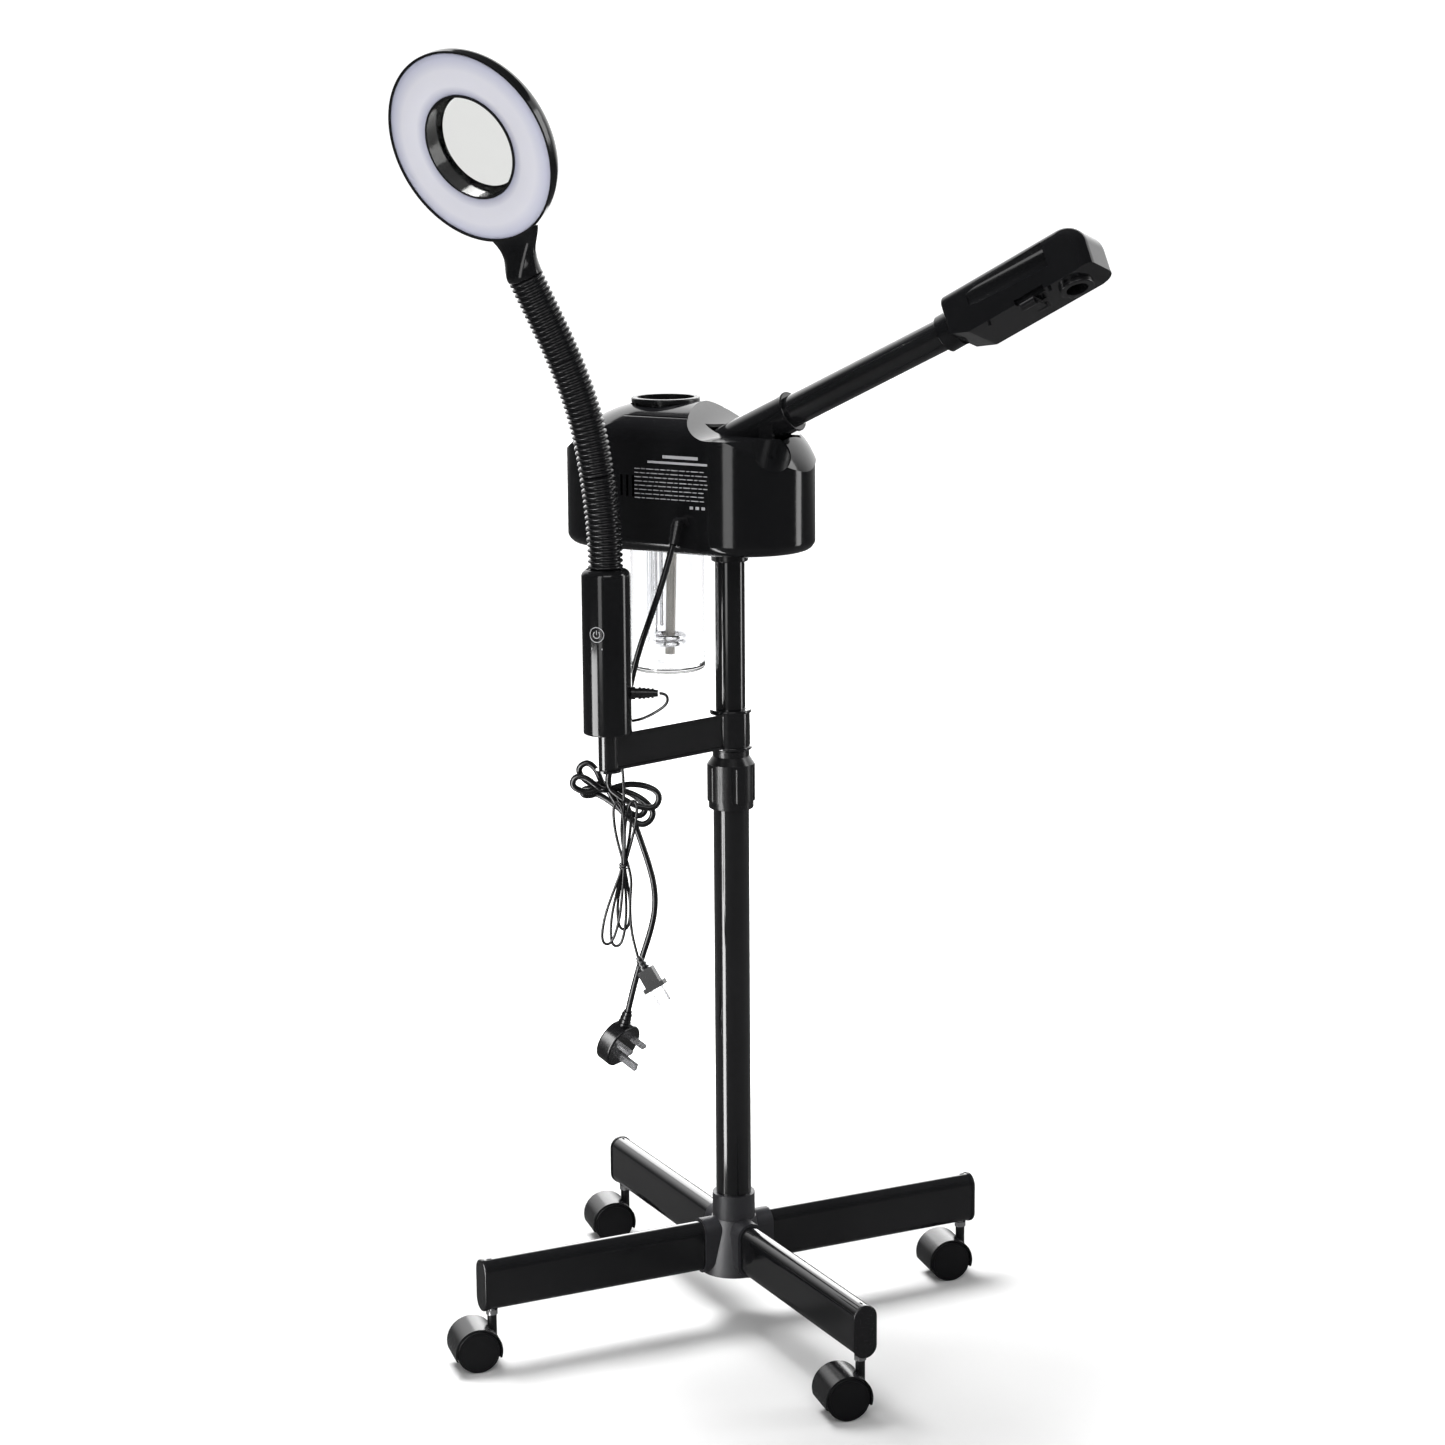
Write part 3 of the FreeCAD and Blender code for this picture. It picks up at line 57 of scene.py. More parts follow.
def local_frame(yaw_deg, at=(0.0, 0.0, 0.0)):
    """Matrix of a frame turned about the column and moved to a place in mm."""
    turn = Matrix.Rotation(math.radians(yaw_deg), 4, "Z")
    return Matrix.Translation(COLUMN + Vector(at) * MM) @ turn


HEAD = local_frame(-56.5)
HANDLE_AT = (170.0 * math.cos(math.radians(-164.0)),
             170.0 * math.sin(math.radians(-164.0)), 0.0)
HANDLE = local_frame(0.0, HANDLE_AT)
NECK = local_frame(177.0, HANDLE_AT)

# ---- gooseneck and lamp frames ---------------------------------------------

NECK_TOP = 848.0
NECK_STEP = 62.0
NECK_HEADINGS = [0.0, 6.0, 11.0, 20.0, 26.0, 26.0]
NECK_R = 18.0
NECK_VALLEY = 15.4
RIBS_PER_STEP = 11
RIB_PROFILE = [(0.0, 0.0), (0.08, 0.15), (0.18, 0.62), (0.30, 0.92), (0.43, 1.0),
               (0.56, 0.92), (0.68, 0.62), (0.78, 0.15), (0.88, 0.0)]
NECK_SKIN_BORDERS = [0, 17, 28, 39, 55]   # in ribs


def neck_start(index):
    """Point in mm where a length of the gooseneck begins."""
    point = Vector((0, 0, NECK_TOP))
    for before, after in zip(NECK_HEADINGS[:index], NECK_HEADINGS[1:index + 1]):
        mean = math.radians((before + after) / 2)
        point = point + Vector((math.sin(mean), 0, math.cos(mean))) * NECK_STEP
    return point


LAMP_TILT = 23.7
LAMP_TURN = 29.3
LAMP_NECK = 136.5


def lamp_matrix():
    """Frame of the lamp head: x out of its face, neck towards -z."""
    turn = (Matrix.Rotation(math.radians(LAMP_TILT), 4, "Y")
            @ Matrix.Rotation(math.radians(LAMP_TURN), 4, "Z"))
    end = Matrix.Translation(neck_start(len(NECK_HEADINGS) - 1) * MM)
    return NECK @ end @ turn @ Matrix.Translation(Vector((0, 0, LAMP_NECK * MM)))


LAMP = lamp_matrix()

# ---- camera ---------------------------------------------------------------

CAMERA_AT = Vector((-1481.9, -2978.8, 1341.8)) * MM + COLUMN
CAMERA_YAW = -26.3
CAMERA_PITCH = 11.495
CAMERA_ROLL = -0.398
CAMERA_LENS = 80.07


def make_camera():
    yaw = math.radians(CAMERA_YAW)
    pitch = math.radians(CAMERA_PITCH)
    forward = Vector((-math.sin(yaw) * math.cos(pitch),
                      math.cos(yaw) * math.cos(pitch), -math.sin(pitch)))
    right = forward.cross(Vector((0, 0, 1))).normalized()
    up = right.cross(forward)
    roll = math.radians(CAMERA_ROLL)
    turned_right = right * math.cos(roll) + up * math.sin(roll)
    turned_up = up * math.cos(roll) - right * math.sin(roll)
    basis = Matrix((turned_right, turned_up, -forward)).transposed()
    data = bpy.data.cameras.new("camera")
    data.lens = CAMERA_LENS
    data.sensor_width = 36.0
    data.clip_end = 50.0
    camera = bpy.data.objects.new("camera", data)
    camera.matrix_world = Matrix.Translation(CAMERA_AT) @ basis.to_4x4()
    bpy.context.scene.collection.objects.link(camera)
    bpy.context.scene.camera = camera


make_camera()

# ---- materials ------------------------------------------------------------

NOISE_LOW = 0.3
NOISE_HIGH = 0.7
MOTTLE_SCALE = 9.0
FINE_DETAIL = 4.0
DIFFUSER_SPAN = (0.0535, 0.0953)
# Painted light on the diffuser: a lit crown, and painted shade on its darker lavender
# edges.
OPAL_SHADED_EDGE = (0.44, 0.45, 0.57, 1)
OPAL_HALF_SHADED_SHOULDER = (0.60, 0.61, 0.73, 1)
OPAL_LIT_CROWN = (0.76, 0.76, 0.83, 1)
OPAL_PAINTED_LIGHT_BANDS = [(0.22, OPAL_LIT_CROWN), (0.62, OPAL_LIT_CROWN), (0.88, OPAL_HALF_SHADED_SHOULDER)]


def new_material(name):
    material = bpy.data.materials.new(name)
    material.use_nodes = True
    shader = material.node_tree.nodes["Principled BSDF"]
    return material, material.node_tree, shader


def noise(tree, scale, detail=3.0):
    """Noise value on object coordinates, so it stays with its piece."""
    place = tree.nodes.new("ShaderNodeTexCoord")
    node = tree.nodes.new("ShaderNodeTexNoise")
    node.inputs["Scale"].default_value = scale
    node.inputs["Detail"].default_value = detail
    tree.links.new(place.outputs["Object"], node.inputs["Vector"])
    return node.outputs["Fac"]


def spread(tree, value, low, high):
    """The noise value mapped from its usual span to low..high."""
    node = tree.nodes.new("ShaderNodeMapRange")
    node.inputs["From Min"].default_value = NOISE_LOW
    node.inputs["From Max"].default_value = NOISE_HIGH
    node.inputs["To Min"].default_value = low
    node.inputs["To Max"].default_value = high
    tree.links.new(value, node.inputs["Value"])
    return node.outputs["Result"]


def tint(tree, value, dark, light):
    """Colour between dark and light, by the noise value."""
    ramp = tree.nodes.new("ShaderNodeValToRGB")
    ramp.color_ramp.elements[0].position = NOISE_LOW
    ramp.color_ramp.elements[0].color = (*dark, 1)
    ramp.color_ramp.elements[1].position = NOISE_HIGH
    ramp.color_ramp.elements[1].color = (*light, 1)
    tree.links.new(value, ramp.inputs["Fac"])
    return ramp.outputs["Color"]


def surface(name, dark, light, rough, bump_scale, bump_depth, metallic=0.0,
            coat=0.0, specular=0.5):
    """Mottled colour, uneven gloss and a fine texture."""
    material, tree, shader = new_material(name)
    broad = noise(tree, MOTTLE_SCALE)
    fine = noise(tree, bump_scale, FINE_DETAIL)
    tree.links.new(tint(tree, broad, dark, light), shader.inputs["Base Color"])
    tree.links.new(spread(tree, fine, rough[0], rough[1]), shader.inputs["Roughness"])
    bump = tree.nodes.new("ShaderNodeBump")
    bump.inputs["Strength"].default_value = 0.35
    bump.inputs["Distance"].default_value = bump_depth
    tree.links.new(fine, bump.inputs["Height"])
    tree.links.new(bump.outputs["Normal"], shader.inputs["Normal"])
    shader.inputs["Metallic"].default_value = metallic
    shader.inputs["Coat Weight"].default_value = coat
    shader.inputs["Coat Roughness"].default_value = 0.08
    shader.inputs["Specular IOR Level"].default_value = specular
    return material


def clear_material(name, color, ior):
    """Clear plastic or glass with a barely uneven surface."""
    material, tree, shader = new_material(name)
    fine = noise(tree, 60.0)
    tree.links.new(tint(tree, fine, [c * 0.99 for c in color], color),
                   shader.inputs["Base Color"])
    tree.links.new(spread(tree, fine, 0.0, 0.02), shader.inputs["Roughness"])
    shader.inputs["Transmission Weight"].default_value = 1.0
    shader.inputs["IOR"].default_value = ior
    return material


def diffuser_material():
    """Lavender opal plastic with painted light: a painted highlight brightest along the
    crown, and painted shade in darker lavender at both edges.
    """
    material, tree, shader = new_material("opal")
    place = tree.nodes.new("ShaderNodeTexCoord")
    to_axis = LAMP.inverted() @ NODES["diffuser"].matrix_world
    mapping = tree.nodes.new("ShaderNodeMapping")
    mapping.inputs["Location"].default_value = to_axis.to_translation()
    mapping.inputs["Rotation"].default_value = to_axis.to_euler()
    flat = tree.nodes.new("ShaderNodeVectorMath")
    flat.operation = "MULTIPLY"
    flat.inputs[1].default_value = (0, 1, 1)
    reach = tree.nodes.new("ShaderNodeVectorMath")
    reach.operation = "LENGTH"
    span = tree.nodes.new("ShaderNodeMapRange")
    span.inputs["From Min"].default_value = DIFFUSER_SPAN[0]
    span.inputs["From Max"].default_value = DIFFUSER_SPAN[1]
    # Ramp of painted light across the diffuser, from painted shade at the edges to the lit
    # crown.
    ramp = tree.nodes.new("ShaderNodeValToRGB")
    ramp.color_ramp.elements[0].color = OPAL_SHADED_EDGE
    ramp.color_ramp.elements[1].color = OPAL_SHADED_EDGE
    for position, color in OPAL_PAINTED_LIGHT_BANDS:
        ramp.color_ramp.elements.new(position).color = color
    fine = noise(tree, 30.0)
    tree.links.new(place.outputs["Object"], mapping.inputs["Vector"])
    tree.links.new(mapping.outputs["Vector"], flat.inputs[0])
    tree.links.new(flat.outputs["Vector"], reach.inputs[0])
    tree.links.new(reach.outputs["Value"], span.inputs["Value"])
    tree.links.new(span.outputs["Result"], ramp.inputs["Fac"])
    tree.links.new(ramp.outputs["Color"], shader.inputs["Base Color"])
    tree.links.new(spread(tree, fine, 0.28, 0.36), shader.inputs["Roughness"])
    shader.inputs["Subsurface Weight"].default_value = 0.1
    shader.inputs["Subsurface Radius"].default_value = (0.004, 0.004, 0.005)
    return material


BLACK = (0.006, 0.0062, 0.007)
SOFT_BLACK = (0.010, 0.0102, 0.011)
MATERIALS = {
    "satin_black_metal": surface("black powder coat", BLACK, SOFT_BLACK,
                                 (0.10, 0.17), 900.0, 0.00003, coat=0.6,
                                 specular=0.3),
    "hub_grey": surface("grey casting", (0.020, 0.020, 0.023), (0.028, 0.028, 0.032),
                        (0.36, 0.48), 700.0, 0.0001, specular=0.4),
    "gloss_black": surface("gloss moulding", BLACK, (0.008, 0.0083, 0.009),
                           (0.09, 0.14), 300.0, 0.00002, specular=0.38),
    "matte_black": surface("fine grained moulding", (0.007, 0.007, 0.008),
                           (0.010, 0.010, 0.011), (0.20, 0.28), 900.0, 0.00005,
                           specular=0.45),
    "wheel_black": surface("black nylon", (0.006, 0.006, 0.007), (0.009, 0.009, 0.010),
                           (0.30, 0.40), 700.0, 0.00008, specular=0.18),
    "bright_steel": surface("polished steel", (0.62, 0.62, 0.64), (0.74, 0.74, 0.75),
                            (0.10, 0.18), 400.0, 0.00002, metallic=1.0),
    "grey_steel": surface("dull steel", (0.25, 0.24, 0.22), (0.36, 0.34, 0.31),
                          (0.30, 0.45), 300.0, 0.00005, metallic=0.6),
    "black_rubber": surface("soft black PVC", (0.006, 0.006, 0.007),
                            (0.009, 0.009, 0.010), (0.20, 0.28), 800.0, 0.00004),
    "nickel_pin": surface("plated pin", (0.60, 0.60, 0.62), (0.76, 0.76, 0.78),
                          (0.16, 0.26), 300.0, 0.00003, metallic=0.85),
    "clear_glass": clear_material("clear glass", (0.95, 0.955, 0.96), 1.45),
    "lens_glass": clear_material("lens glass", (0.68, 0.685, 0.672), 1.12),
    "white_diffuser": diffuser_material(),
}
PRINT = surface("pale print", (0.40, 0.40, 0.42), (0.52, 0.52, 0.54), (0.4, 0.5),
                500.0, 0.00002)


def dress(obj, material, smooth_angle=35.0):
    obj.data.materials.clear()
    obj.data.materials.append(material)
    if obj.type == "MESH":
        obj.data.shade_smooth()
        obj.data.set_sharp_from_angle(angle=math.radians(smooth_angle))
    return obj


def dress_cad():
    for part in frame["record"]["subparts"]:
        dress(NODES[part["node"]], MATERIALS[part["material_slot"]])


# ---- building helpers -----------------------------------------------------


def link(name, data, material_slot, body=None, stands_for=()):
    obj = bpy.data.objects.new(name, data)
    bpy.context.scene.collection.objects.link(obj)
    dress(obj, MATERIALS[material_slot])
    if stands_for:
        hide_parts(*stands_for)
    if body:
        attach(obj, body)
    return obj


def mesh_from(name, build):
    """Mesh whose bmesh is filled by build, cleaned of doubled points."""
    work = bmesh.new()
    build(work)
    bmesh.ops.remove_doubles(work, verts=work.verts, dist=1e-6)
    bmesh.ops.recalc_face_normals(work, faces=work.faces)
    data = bpy.data.meshes.new(name)
    work.to_mesh(data)
    work.free()
    return data


def skin_rings(work, rings, close=True):
    """Quads between neighbouring rings of points, with fans at the ends."""
    loops = [[work.verts.new(p) for p in ring] for ring in rings]
    for first, second in zip(loops[:-1], loops[1:]):
        count = len(first)
        for i in range(count):
            j = (i + 1) % count
            work.faces.new((first[i], first[j], second[j], second[i]))
    if close:
        work.faces.new(list(reversed(loops[0])))
        work.faces.new(loops[-1])


def circle(centre, axis_a, axis_b, radius, count):
    out = []
    for i in range(count):
        angle = 2 * math.pi * i / count
        out.append(centre + (axis_a * math.cos(angle) + axis_b * math.sin(angle)) * radius)
    return out


def nurbs(name, points, diameter):
    """Smooth cord with the route's points as its control points."""
    curve = bpy.data.curves.new(name, "CURVE")
    curve.dimensions = "3D"
    spline = curve.splines.new("NURBS")
    spline.points.add(len(points) - 1)
    for target, point in zip(spline.points, points):
        target.co = (*point, 1.0)
    spline.order_u = 3
    spline.use_endpoint_u = True
    spline.resolution_u = 6
    curve.bevel_depth = diameter / 2
    curve.bevel_resolution = 5
    curve.use_fill_caps = True
    return curve


# ---- cords ----------------------------------------------------------------

MAINS_D = 0.0065
LAMP_LEAD_D = 0.003
HANG_YAW = math.radians(-26.4)
HANG_SIDE = Vector((math.cos(HANG_YAW), math.sin(HANG_YAW), 0))
HANG_BACK = Vector((-math.sin(HANG_YAW), math.cos(HANG_YAW), 0))
MAINS_ROUTE = [
    (-86.0, -43.0, 866.0), (-96.1, -40.2, 829.6), (-104.8, -27.5, 791.0),
    (-112.4, -10.8, 750.4), (-118.4, 2.2, 702.4), (-122.1, 15.0, 654.0),
]
MAINS_TAIL = [
    (-107.2, 17.2, 569.4), (-99.7, 13.6, 544.4), (-92.7, 10.2, 520.4),
    (-87.4, 7.4, 495.4), (-87.0, 7.3, 470.4), (-91.7, 9.6, 446.4),
    (-100.0, 13.8, 418.4), (-108.2, 18.0, 386.4), (-113.7, 21.6, 358.4),
]
LAMP_ROUTE = [
    (-117.3, -73.5, 720.0), (-110.4, -77.5, 719.6), (-109.4, -76.4, 709.0),
    (-117.0, -65.0, 699.0), (-127.0, -51.0, 690.0), (-134.6, -38.5, 686.5),
    (-138.9, -27.0, 681.0), (-138.6, -19.5, 667.0), (-137.4, -20.5, 645.0),
    (-137.0, -27.0, 622.0),
]
LAMP_TAIL = [
    (-132.0, -33.0, 520.0), (-134.0, -31.8, 497.0), (-134.2, -31.9, 474.0),
    (-132.0, -33.0, 453.0), (-127.5, -35.2, 434.0),
]


def from_column(route):
    return [Vector(p) * MM + COLUMN for p in route]


def hang(side, z, back):
    """Point of the hanging plane, from mm along, up and back."""
    return (HANG_SIDE * side + HANG_BACK * back) * MM + Vector((0, 0, z * MM)) + COLUMN


def lobe(tie, tip, half_width, back, step):
    """Control points of one loop of a hank, out to its tip and back."""
    along = (tip[0] - tie[0], tip[1] - tie[1])
    length = math.hypot(*along)
    normal = (-along[1] / length, along[0] / length)
    shares = [(0.32, -0.55), (0.66, -1.0), (0.96, -0.8), (1.03, 0.0),
              (0.96, 0.8), (0.66, 1.0), (0.32, 0.55)]
    points = []
    for i, (far, wide) in enumerate(shares):
        side = tie[0] + along[0] * far + normal[0] * half_width * wide
        z = tie[1] + along[1] * far + normal[1] * half_width * wide
        points.append(hang(side, z, back + step * (i / 6 - 0.5)))
    return points


def hank(tie, lobes, back, pitch):
    """Turns through a tie: each loop crosses it at a place of its own."""
    points = []
    for i, (tip, half_width) in enumerate(lobes):
        row = i % 2
        layer = i // 2
        at = (tie[0], tie[1] + pitch * (0.55 - 1.1 * row))
        depth = back + pitch * (layer - 1)
        points.append(hang(at[0], at[1] + pitch * 0.2, depth))
        points += lobe(at, tip, half_width, depth, pitch * 0.7)
    return points


MAINS_LOBES = [
    ((-77.0, 590.0), 12.0), ((-165.0, 612.0), 8.0),
    ((-86.0, 568.0), 13.0), ((-156.0, 627.0), 9.0),
    ((-93.0, 574.0), 9.0), ((-156.0, 596.0), 4.5),
]
LAMP_LOBES = [
    ((-131.0, 450.0), 8.0), ((-118.0, 599.0), 5.5),
    ((-121.0, 447.0), 8.0), ((-101.0, 600.0), 5.5),
    ((-113.0, 464.0), 7.0), ((-108.0, 594.0), 5.0),
]


def wire_tie(name, centre, half_side, half_back, width, wire, body):
    """Twisted wire round the bundle, drawn as two closed turns."""
    def build(work):
        for turn in range(2):
            z = centre.z + (turn - 0.5) * width
            path = []
            for i in range(28):
                angle = 2 * math.pi * i / 28
                offset = (HANG_SIDE * math.cos(angle) * half_side
                          + HANG_BACK * math.sin(angle) * half_back)
                path.append(Vector((centre.x, centre.y, z)) + offset)
            rings = []
            for i, p in enumerate(path):
                out = (p - Vector((centre.x, centre.y, z))).normalized()
                rings.append(circle(p, out, Vector((0, 0, 1)), wire, 8))
            skin_rings(work, rings + [rings[0]], close=False)
    data = mesh_from(name, build)
    return link(name, data, "black_rubber", body)


def make_mains_cord():
    turns = hank((-133.0, 602.5), MAINS_LOBES, -32.0, 6.8)
    points = from_column(MAINS_ROUTE) + turns + from_column(MAINS_TAIL)
    cord = link("mains_lead", nurbs("mains_lead", points, MAINS_D), "black_rubber",
                "head", ["mains_cord", "mains_hank"])
    tie = wire_tie("mains_tie", hang(-133.0, 602.0, -32.0), 0.009, 0.0115, 0.003,
                   0.0008, "head")


def make_lamp_cord():
    turns = hank((-111.7, 532.0), LAMP_LOBES, -88.0, 3.2)
    points = from_column(LAMP_ROUTE) + turns + from_column(LAMP_TAIL)
    curve = nurbs("lamp_lead_line", points, LAMP_LEAD_D)
    line = nurbs("lamp_lead_bare", points, 0.0)
    path = curve_points(line)
    holder = bpy.data.objects.new("lamp_lead_source", curve)
    bpy.context.scene.collection.objects.link(holder)
    bpy.context.view_layer.update()
    tube = bpy.data.meshes.new_from_object(holder)
    bpy.data.objects.remove(holder)
    cord = link("lamp_lead", tube, "black_rubber", None, ["lamp_cord", "lamp_hank"])
    tie = wire_tie("lamp_tie", hang(-111.7, 532.0, -88.0), 0.0052, 0.0062, 0.003,
                   0.0007, "bracket")
    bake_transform(cord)


def curve_points(curve):
    """Points along a curve that has no thickness."""
    holder = bpy.data.objects.new("line", curve)
    bpy.context.scene.collection.objects.link(holder)
    bpy.context.view_layer.update()
    mesh = bpy.data.meshes.new_from_object(holder)
    points = [v.co.copy() for v in mesh.vertices]
    bpy.data.objects.remove(holder)
    return points


make_mains_cord()
make_lamp_cord()
dress_cad()

# ---- gooseneck ------------------------------------------------------------


def neck_at(distance):
    """Point in mm and heading in degrees, that far along the gooseneck."""
    index = min(int(distance / NECK_STEP), len(NECK_HEADINGS) - 2)
    share = distance / NECK_STEP - index
    low = NECK_HEADINGS[index]
    here = low + (NECK_HEADINGS[index + 1] - low) * share
    mean = math.radians((low + here) / 2)
    step = Vector((math.sin(mean), 0, math.cos(mean))) * (NECK_STEP * share)
    return neck_start(index) + step, here


def neck_rings(first_rib, last_rib):
    rings = []
    pitch = NECK_STEP / RIBS_PER_STEP
    for rib in range(first_rib, last_rib):
        for share, height in RIB_PROFILE:
            distance = (rib + share) * pitch
            point, heading = neck_at(distance)
            angle = math.radians(heading)
            across = Vector((math.cos(angle), 0, -math.sin(angle)))
            radius = NECK_VALLEY + (NECK_R - NECK_VALLEY) * height
            ring = circle(point * MM, across, Vector((0, 1, 0)), radius * MM, 48)
            rings.append([NECK @ p for p in ring])
    return rings


def make_gooseneck():
    for i in range(4):
        rings = neck_rings(NECK_SKIN_BORDERS[i], NECK_SKIN_BORDERS[i + 1])
        data = mesh_from("neck_skin", lambda work: skin_rings(work, rings))
        stands_for = ["gooseneck_%d" % (i + 1)]
        if i == 3:
            stands_for.append("gooseneck_5")
        skin = link("gooseneck_skin_%d" % (i + 1), data, "matte_black", None, stands_for)
        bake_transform(skin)


make_gooseneck()

# ---- markings -------------------------------------------------------------

LABEL_WALL_Y = -74.0
LABEL_LEFT = -70.0
LABEL_RIGHT = 17.0
LABEL_TOP = 938.8
LABEL_ROWS = 8
LABEL_PITCH = 4.3
DASH_WIDTHS = [7.0, 4.0, 9.0, 5.0, 6.5, 3.5, 8.0]
DASH_HEIGHT = 0.9
DASH_GAP = 1.5
HANDLE_R = 25.0
MARK_ANGLE = -138.0
MARK_Z = 784.0
MARK_R = 7.6
MARK_ARC_R = 3.472
MARK_DASH_Z = 769.6


def bar_on_housing(work, x0, x1, z0, z1):
    """Flat printed bar on the label side, a hair proud of the surface."""
    corners = []
    for depth in (LABEL_WALL_Y + 0.05, LABEL_WALL_Y - 0.12):
        for x, z in ((x0, z0), (x1, z0), (x1, z1), (x0, z1)):
            corners.append(work.verts.new(HEAD @ (Vector((x, depth, z)) * MM)))
    faces = [(0, 1, 2, 3), (7, 6, 5, 4), (0, 4, 5, 1), (1, 5, 6, 2), (2, 6, 7, 3),
             (3, 7, 4, 0)]
    for face in faces:
        work.faces.new([corners[i] for i in face])


def make_label():
    """Rows of plain dashes in place of the printed instructions."""
    def build(work):
        bar_on_housing(work, -36.0, 6.0, 951.2, 954.4)
        bar_on_housing(work, -54.0, LABEL_RIGHT, 945.6, 948.0)
        for row in range(LABEL_ROWS):
            z = LABEL_TOP - LABEL_PITCH * row
            x = LABEL_LEFT
            i = row * 3
            while x < LABEL_RIGHT - 3.0:
                width = DASH_WIDTHS[i % len(DASH_WIDTHS)]
                bar_on_housing(work, x, min(x + width, LABEL_RIGHT), z, z + DASH_HEIGHT)
                x += width + DASH_GAP
                i += 1
        for i in range(3):
            bar_on_housing(work, -4.0 + 7.0 * i, 0.0 + 7.0 * i, 900.5, 903.5)
    data = mesh_from("label", build)
    obj = link("label_dashes", data, "gloss_black", "head")
    dress(obj, PRINT)


def on_handle(angle_deg, z, radius):
    """Point on the round handle, by angle, height and radius in mm."""
    angle = math.radians(angle_deg)
    return HANDLE @ (Vector((radius * math.cos(angle), radius * math.sin(angle), z)) * MM)


def make_power_mark():
    """Power symbol: an open ring with a short bar, and a dash below it."""
    per_mm = math.degrees(1 / HANDLE_R)
    low = HANDLE_R + 0.02
    high = HANDLE_R + 0.15

    def arc(radius, start, sweep, count):
        return [(radius * math.cos(math.radians(start + sweep * i / count)),
                 MARK_Z + radius * math.sin(math.radians(start + sweep * i / count)))
                for i in range(count + 1)]

    def strip(work, path, half):
        sections = []
        for i, (a, z) in enumerate(path):
            before = path[max(i - 1, 0)]
            after = path[min(i + 1, len(path) - 1)]
            run = Vector((after[0] - before[0], after[1] - before[1])).normalized()
            normal = Vector((-run.y, run.x)) * half
            ring = []
            for sign, radius in ((-1, low), (1, low), (1, high), (-1, high)):
                x = a + normal.x * sign
                height = z + normal.y * sign
                ring.append(on_handle(MARK_ANGLE + x * per_mm, height, radius))
            sections.append(ring)
        skin_rings(work, sections)

    def build(work):
        strip(work, arc(MARK_ARC_R, 125, 290, 32), 0.45)
        strip(work, arc(MARK_R, 0, 360, 48), 0.4)
        strip(work, [(0.0, MARK_Z), (0.0, MARK_Z + 4.6)], 0.45)
        strip(work, [(-6.0, MARK_DASH_Z), (6.0, MARK_DASH_Z)], 0.9)
    data = mesh_from("power_mark", build)
    obj = link("power_mark", data, "gloss_black", "handle")
    dress(obj, PRINT)


make_label()
make_power_mark()

# ---- studio ---------------------------------------------------------------

STUDIO_R = 14.0
STUDIO_CURVE = 5.0
STUDIO_HEIGHT = 12.0
FLOOR_DROP = 0.0005
FLOOR_GLOW = 0.0
GLOW_FROM = 0.36
GLOW_TO = 0.95
UNSEEN_GLOW = 0.04
WORLD_LIGHT = 0.07
BACKDROP = (0.55, 0.70, 0.46)   # towards the lit part, behind, right and up
BACKDROP_FROM = 4.0
BACKDROP_TO = 13.0
BACKDROP_GLOW = 1.9
MIRRORED_FLOOR = (0.10, 0.10, 0.10, 1)


def combined(tree, operation, first, second):
    node = tree.nodes.new("ShaderNodeMath")
    node.operation = operation
    tree.links.new(first, node.inputs[0])
    tree.links.new(second, node.inputs[1])
    return node.outputs["Value"]


def seen_share(tree):
    """1 for what is looked at, straight or through glass, and 0 for light."""
    path = tree.nodes.new("ShaderNodeLightPath").outputs
    return combined(tree, "MAXIMUM", path["Is Camera Ray"], path["Is Transmission Ray"])


def glossy_share(tree):
    """1 for what is mirrored in a surface, and 0 for what is seen or lit."""
    path = tree.nodes.new("ShaderNodeLightPath").outputs
    return combined(tree, "MULTIPLY", path["Is Glossy Ray"], path["Is Reflection Ray"])


def between(tree, value, low, high, from_low=0.0, from_high=1.0):
    """Smooth step from low to high over a span of the value."""
    node = tree.nodes.new("ShaderNodeMapRange")
    node.interpolation_type = "SMOOTHSTEP"
    node.inputs["From Min"].default_value = from_low
    node.inputs["From Max"].default_value = from_high
    node.inputs["To Min"].default_value = low
    node.inputs["To Max"].default_value = high
    tree.links.new(value, node.inputs["Value"])
    return node.outputs["Result"]


def wall_glow(tree):
    """White walls to look at, and a lit backdrop for the gloss to mirror."""
    place = tree.nodes.new("ShaderNodeTexCoord")
    reach = tree.nodes.new("ShaderNodeVectorMath")
    reach.operation = "LENGTH"
    tree.links.new(place.outputs["Object"], reach.inputs[0])
    far = between(tree, reach.outputs["Value"], FLOOR_GLOW, 1.0, GLOW_FROM, GLOW_TO)
    share = between(tree, seen_share(tree), UNSEEN_GLOW, 1.0)
    seen = combined(tree, "MULTIPLY", far, share)
    behind = tree.nodes.new("ShaderNodeVectorMath")
    behind.operation = "DOT_PRODUCT"
    behind.inputs[1].default_value = BACKDROP
    tree.links.new(place.outputs["Object"], behind.inputs[0])
    lit = between(tree, behind.outputs["Value"], 0.0, BACKDROP_GLOW, BACKDROP_FROM,
                  BACKDROP_TO)
    mirrored_glow = combined(tree, "MULTIPLY", lit, glossy_share(tree))
    return combined(tree, "ADD", seen, mirrored_glow)


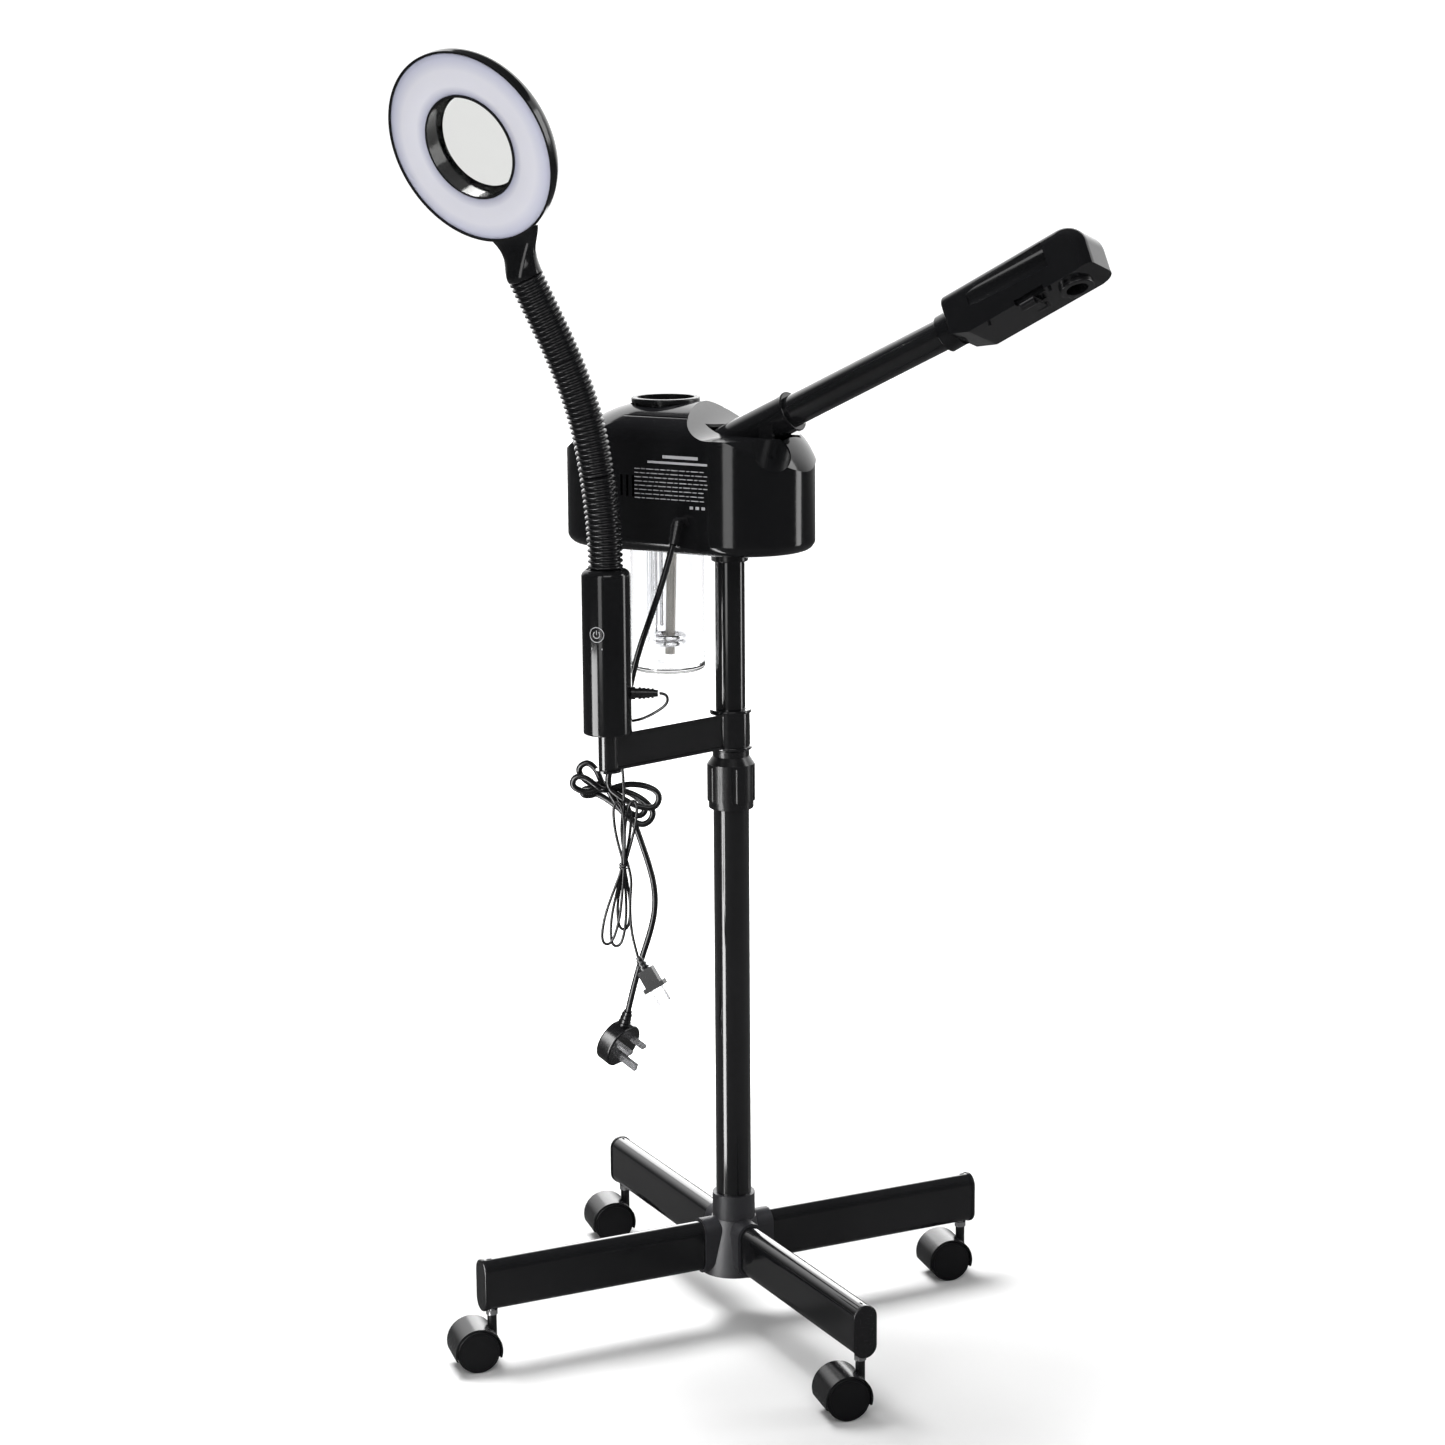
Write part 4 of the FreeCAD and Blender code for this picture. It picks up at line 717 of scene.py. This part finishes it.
def make_floor():
    """Pale floor that rises into a wall all round, with no horizon."""
    profile = [(STUDIO_R - STUDIO_CURVE, 0.0)]
    for i in range(1, 13):
        angle = math.radians(7.5 * i)
        profile.append((STUDIO_R - STUDIO_CURVE * (1 - math.sin(angle)),
                        STUDIO_CURVE * (1 - math.cos(angle))))
    profile.append((STUDIO_R, STUDIO_HEIGHT))

    def build(work):
        rings = [circle(Vector((0, 0, z)), Vector((1, 0, 0)), Vector((0, 1, 0)), r, 64)
                 for r, z in profile]
        skin_rings(work, rings, close=False)
        inner = [work.verts.new(p) for p in rings[0]]
        work.faces.new(inner)
    data = mesh_from("floor", build)
    floor = bpy.data.objects.new("floor", data)
    floor.location.z = -FLOOR_DROP
    bpy.context.scene.collection.objects.link(floor)
    material, tree, shader = new_material("pale floor")
    broad = noise(tree, 0.8)
    tone = tree.nodes.new("ShaderNodeMix")
    tone.data_type = "RGBA"
    tone.inputs["B"].default_value = MIRRORED_FLOOR
    tree.links.new(glossy_share(tree), tone.inputs["Factor"])
    tree.links.new(tint(tree, broad, (0.80, 0.80, 0.80), (0.82, 0.82, 0.82)),
                   tone.inputs["A"])
    tree.links.new(tone.outputs["Result"], shader.inputs["Base Color"])
    shader.inputs["Roughness"].default_value = 0.9
    shader.inputs["Specular IOR Level"].default_value = 0.1
    shader.inputs["Emission Color"].default_value = (1, 1, 1, 1)
    tree.links.new(wall_glow(tree), shader.inputs["Emission Strength"])
    floor.data.materials.append(material)
    floor.data.shade_smooth()


def soft_light(name, at, aim, size_x, size_y, power):
    """Rectangular panel that faces a point."""
    data = bpy.data.lights.new(name, "AREA")
    data.shape = "RECTANGLE"
    data.size = size_x
    data.size_y = size_y
    data.energy = power
    light = bpy.data.objects.new(name, data)
    light.location = at
    direction = Vector(aim) - Vector(at)
    light.rotation_euler = direction.to_track_quat("-Z", "Y").to_euler()
    bpy.context.scene.collection.objects.link(light)
    return light


def mirrored(light):
    """Shows a light only in what mirrors it."""
    light.visible_camera = False
    light.visible_diffuse = False
    light.visible_transmission = False


def make_world():
    world = bpy.data.worlds.new("studio")
    world.use_nodes = True
    tree = world.node_tree
    background = tree.nodes["Background"]
    background.inputs["Color"].default_value = (1.0, 1.0, 1.0, 1)
    tree.links.new(between(tree, seen_share(tree), WORLD_LIGHT, 1.0),
                   background.inputs["Strength"])
    bpy.context.scene.world = world


make_floor()
make_world()
bpy.context.scene.view_settings.view_transform = "Standard"
key = soft_light("key", (-0.4, 1.3, 3.4), (0, 0, 0.3), 1.7, 1.7, 170)
key.visible_glossy = False
soft_light("left", (-2.5, -1.8, 1.5), (0, 0, 0.8), 0.90, 2.8, 28)
soft_light("right", (2.6, -1.0, 1.4), (0, 0, 0.8), 0.60, 2.8, 26)
soft_light("front", (-1.0, -3.2, 3.2), (0, 0, 0.8), 2.4, 1.6, 40)
# Two panels that only show as mirrored lines, on the tubes and on the leg tops.
mirrored(soft_light("strip", (-0.465, -0.06, 0.36), (0.028, 0.022, 0.36), 0.17, 0.70, 5.5))
mirrored(soft_light("back", (0.70, 1.365, 0.70), (0.03, 0.02, 0.4), 1.3, 0.75, 10))
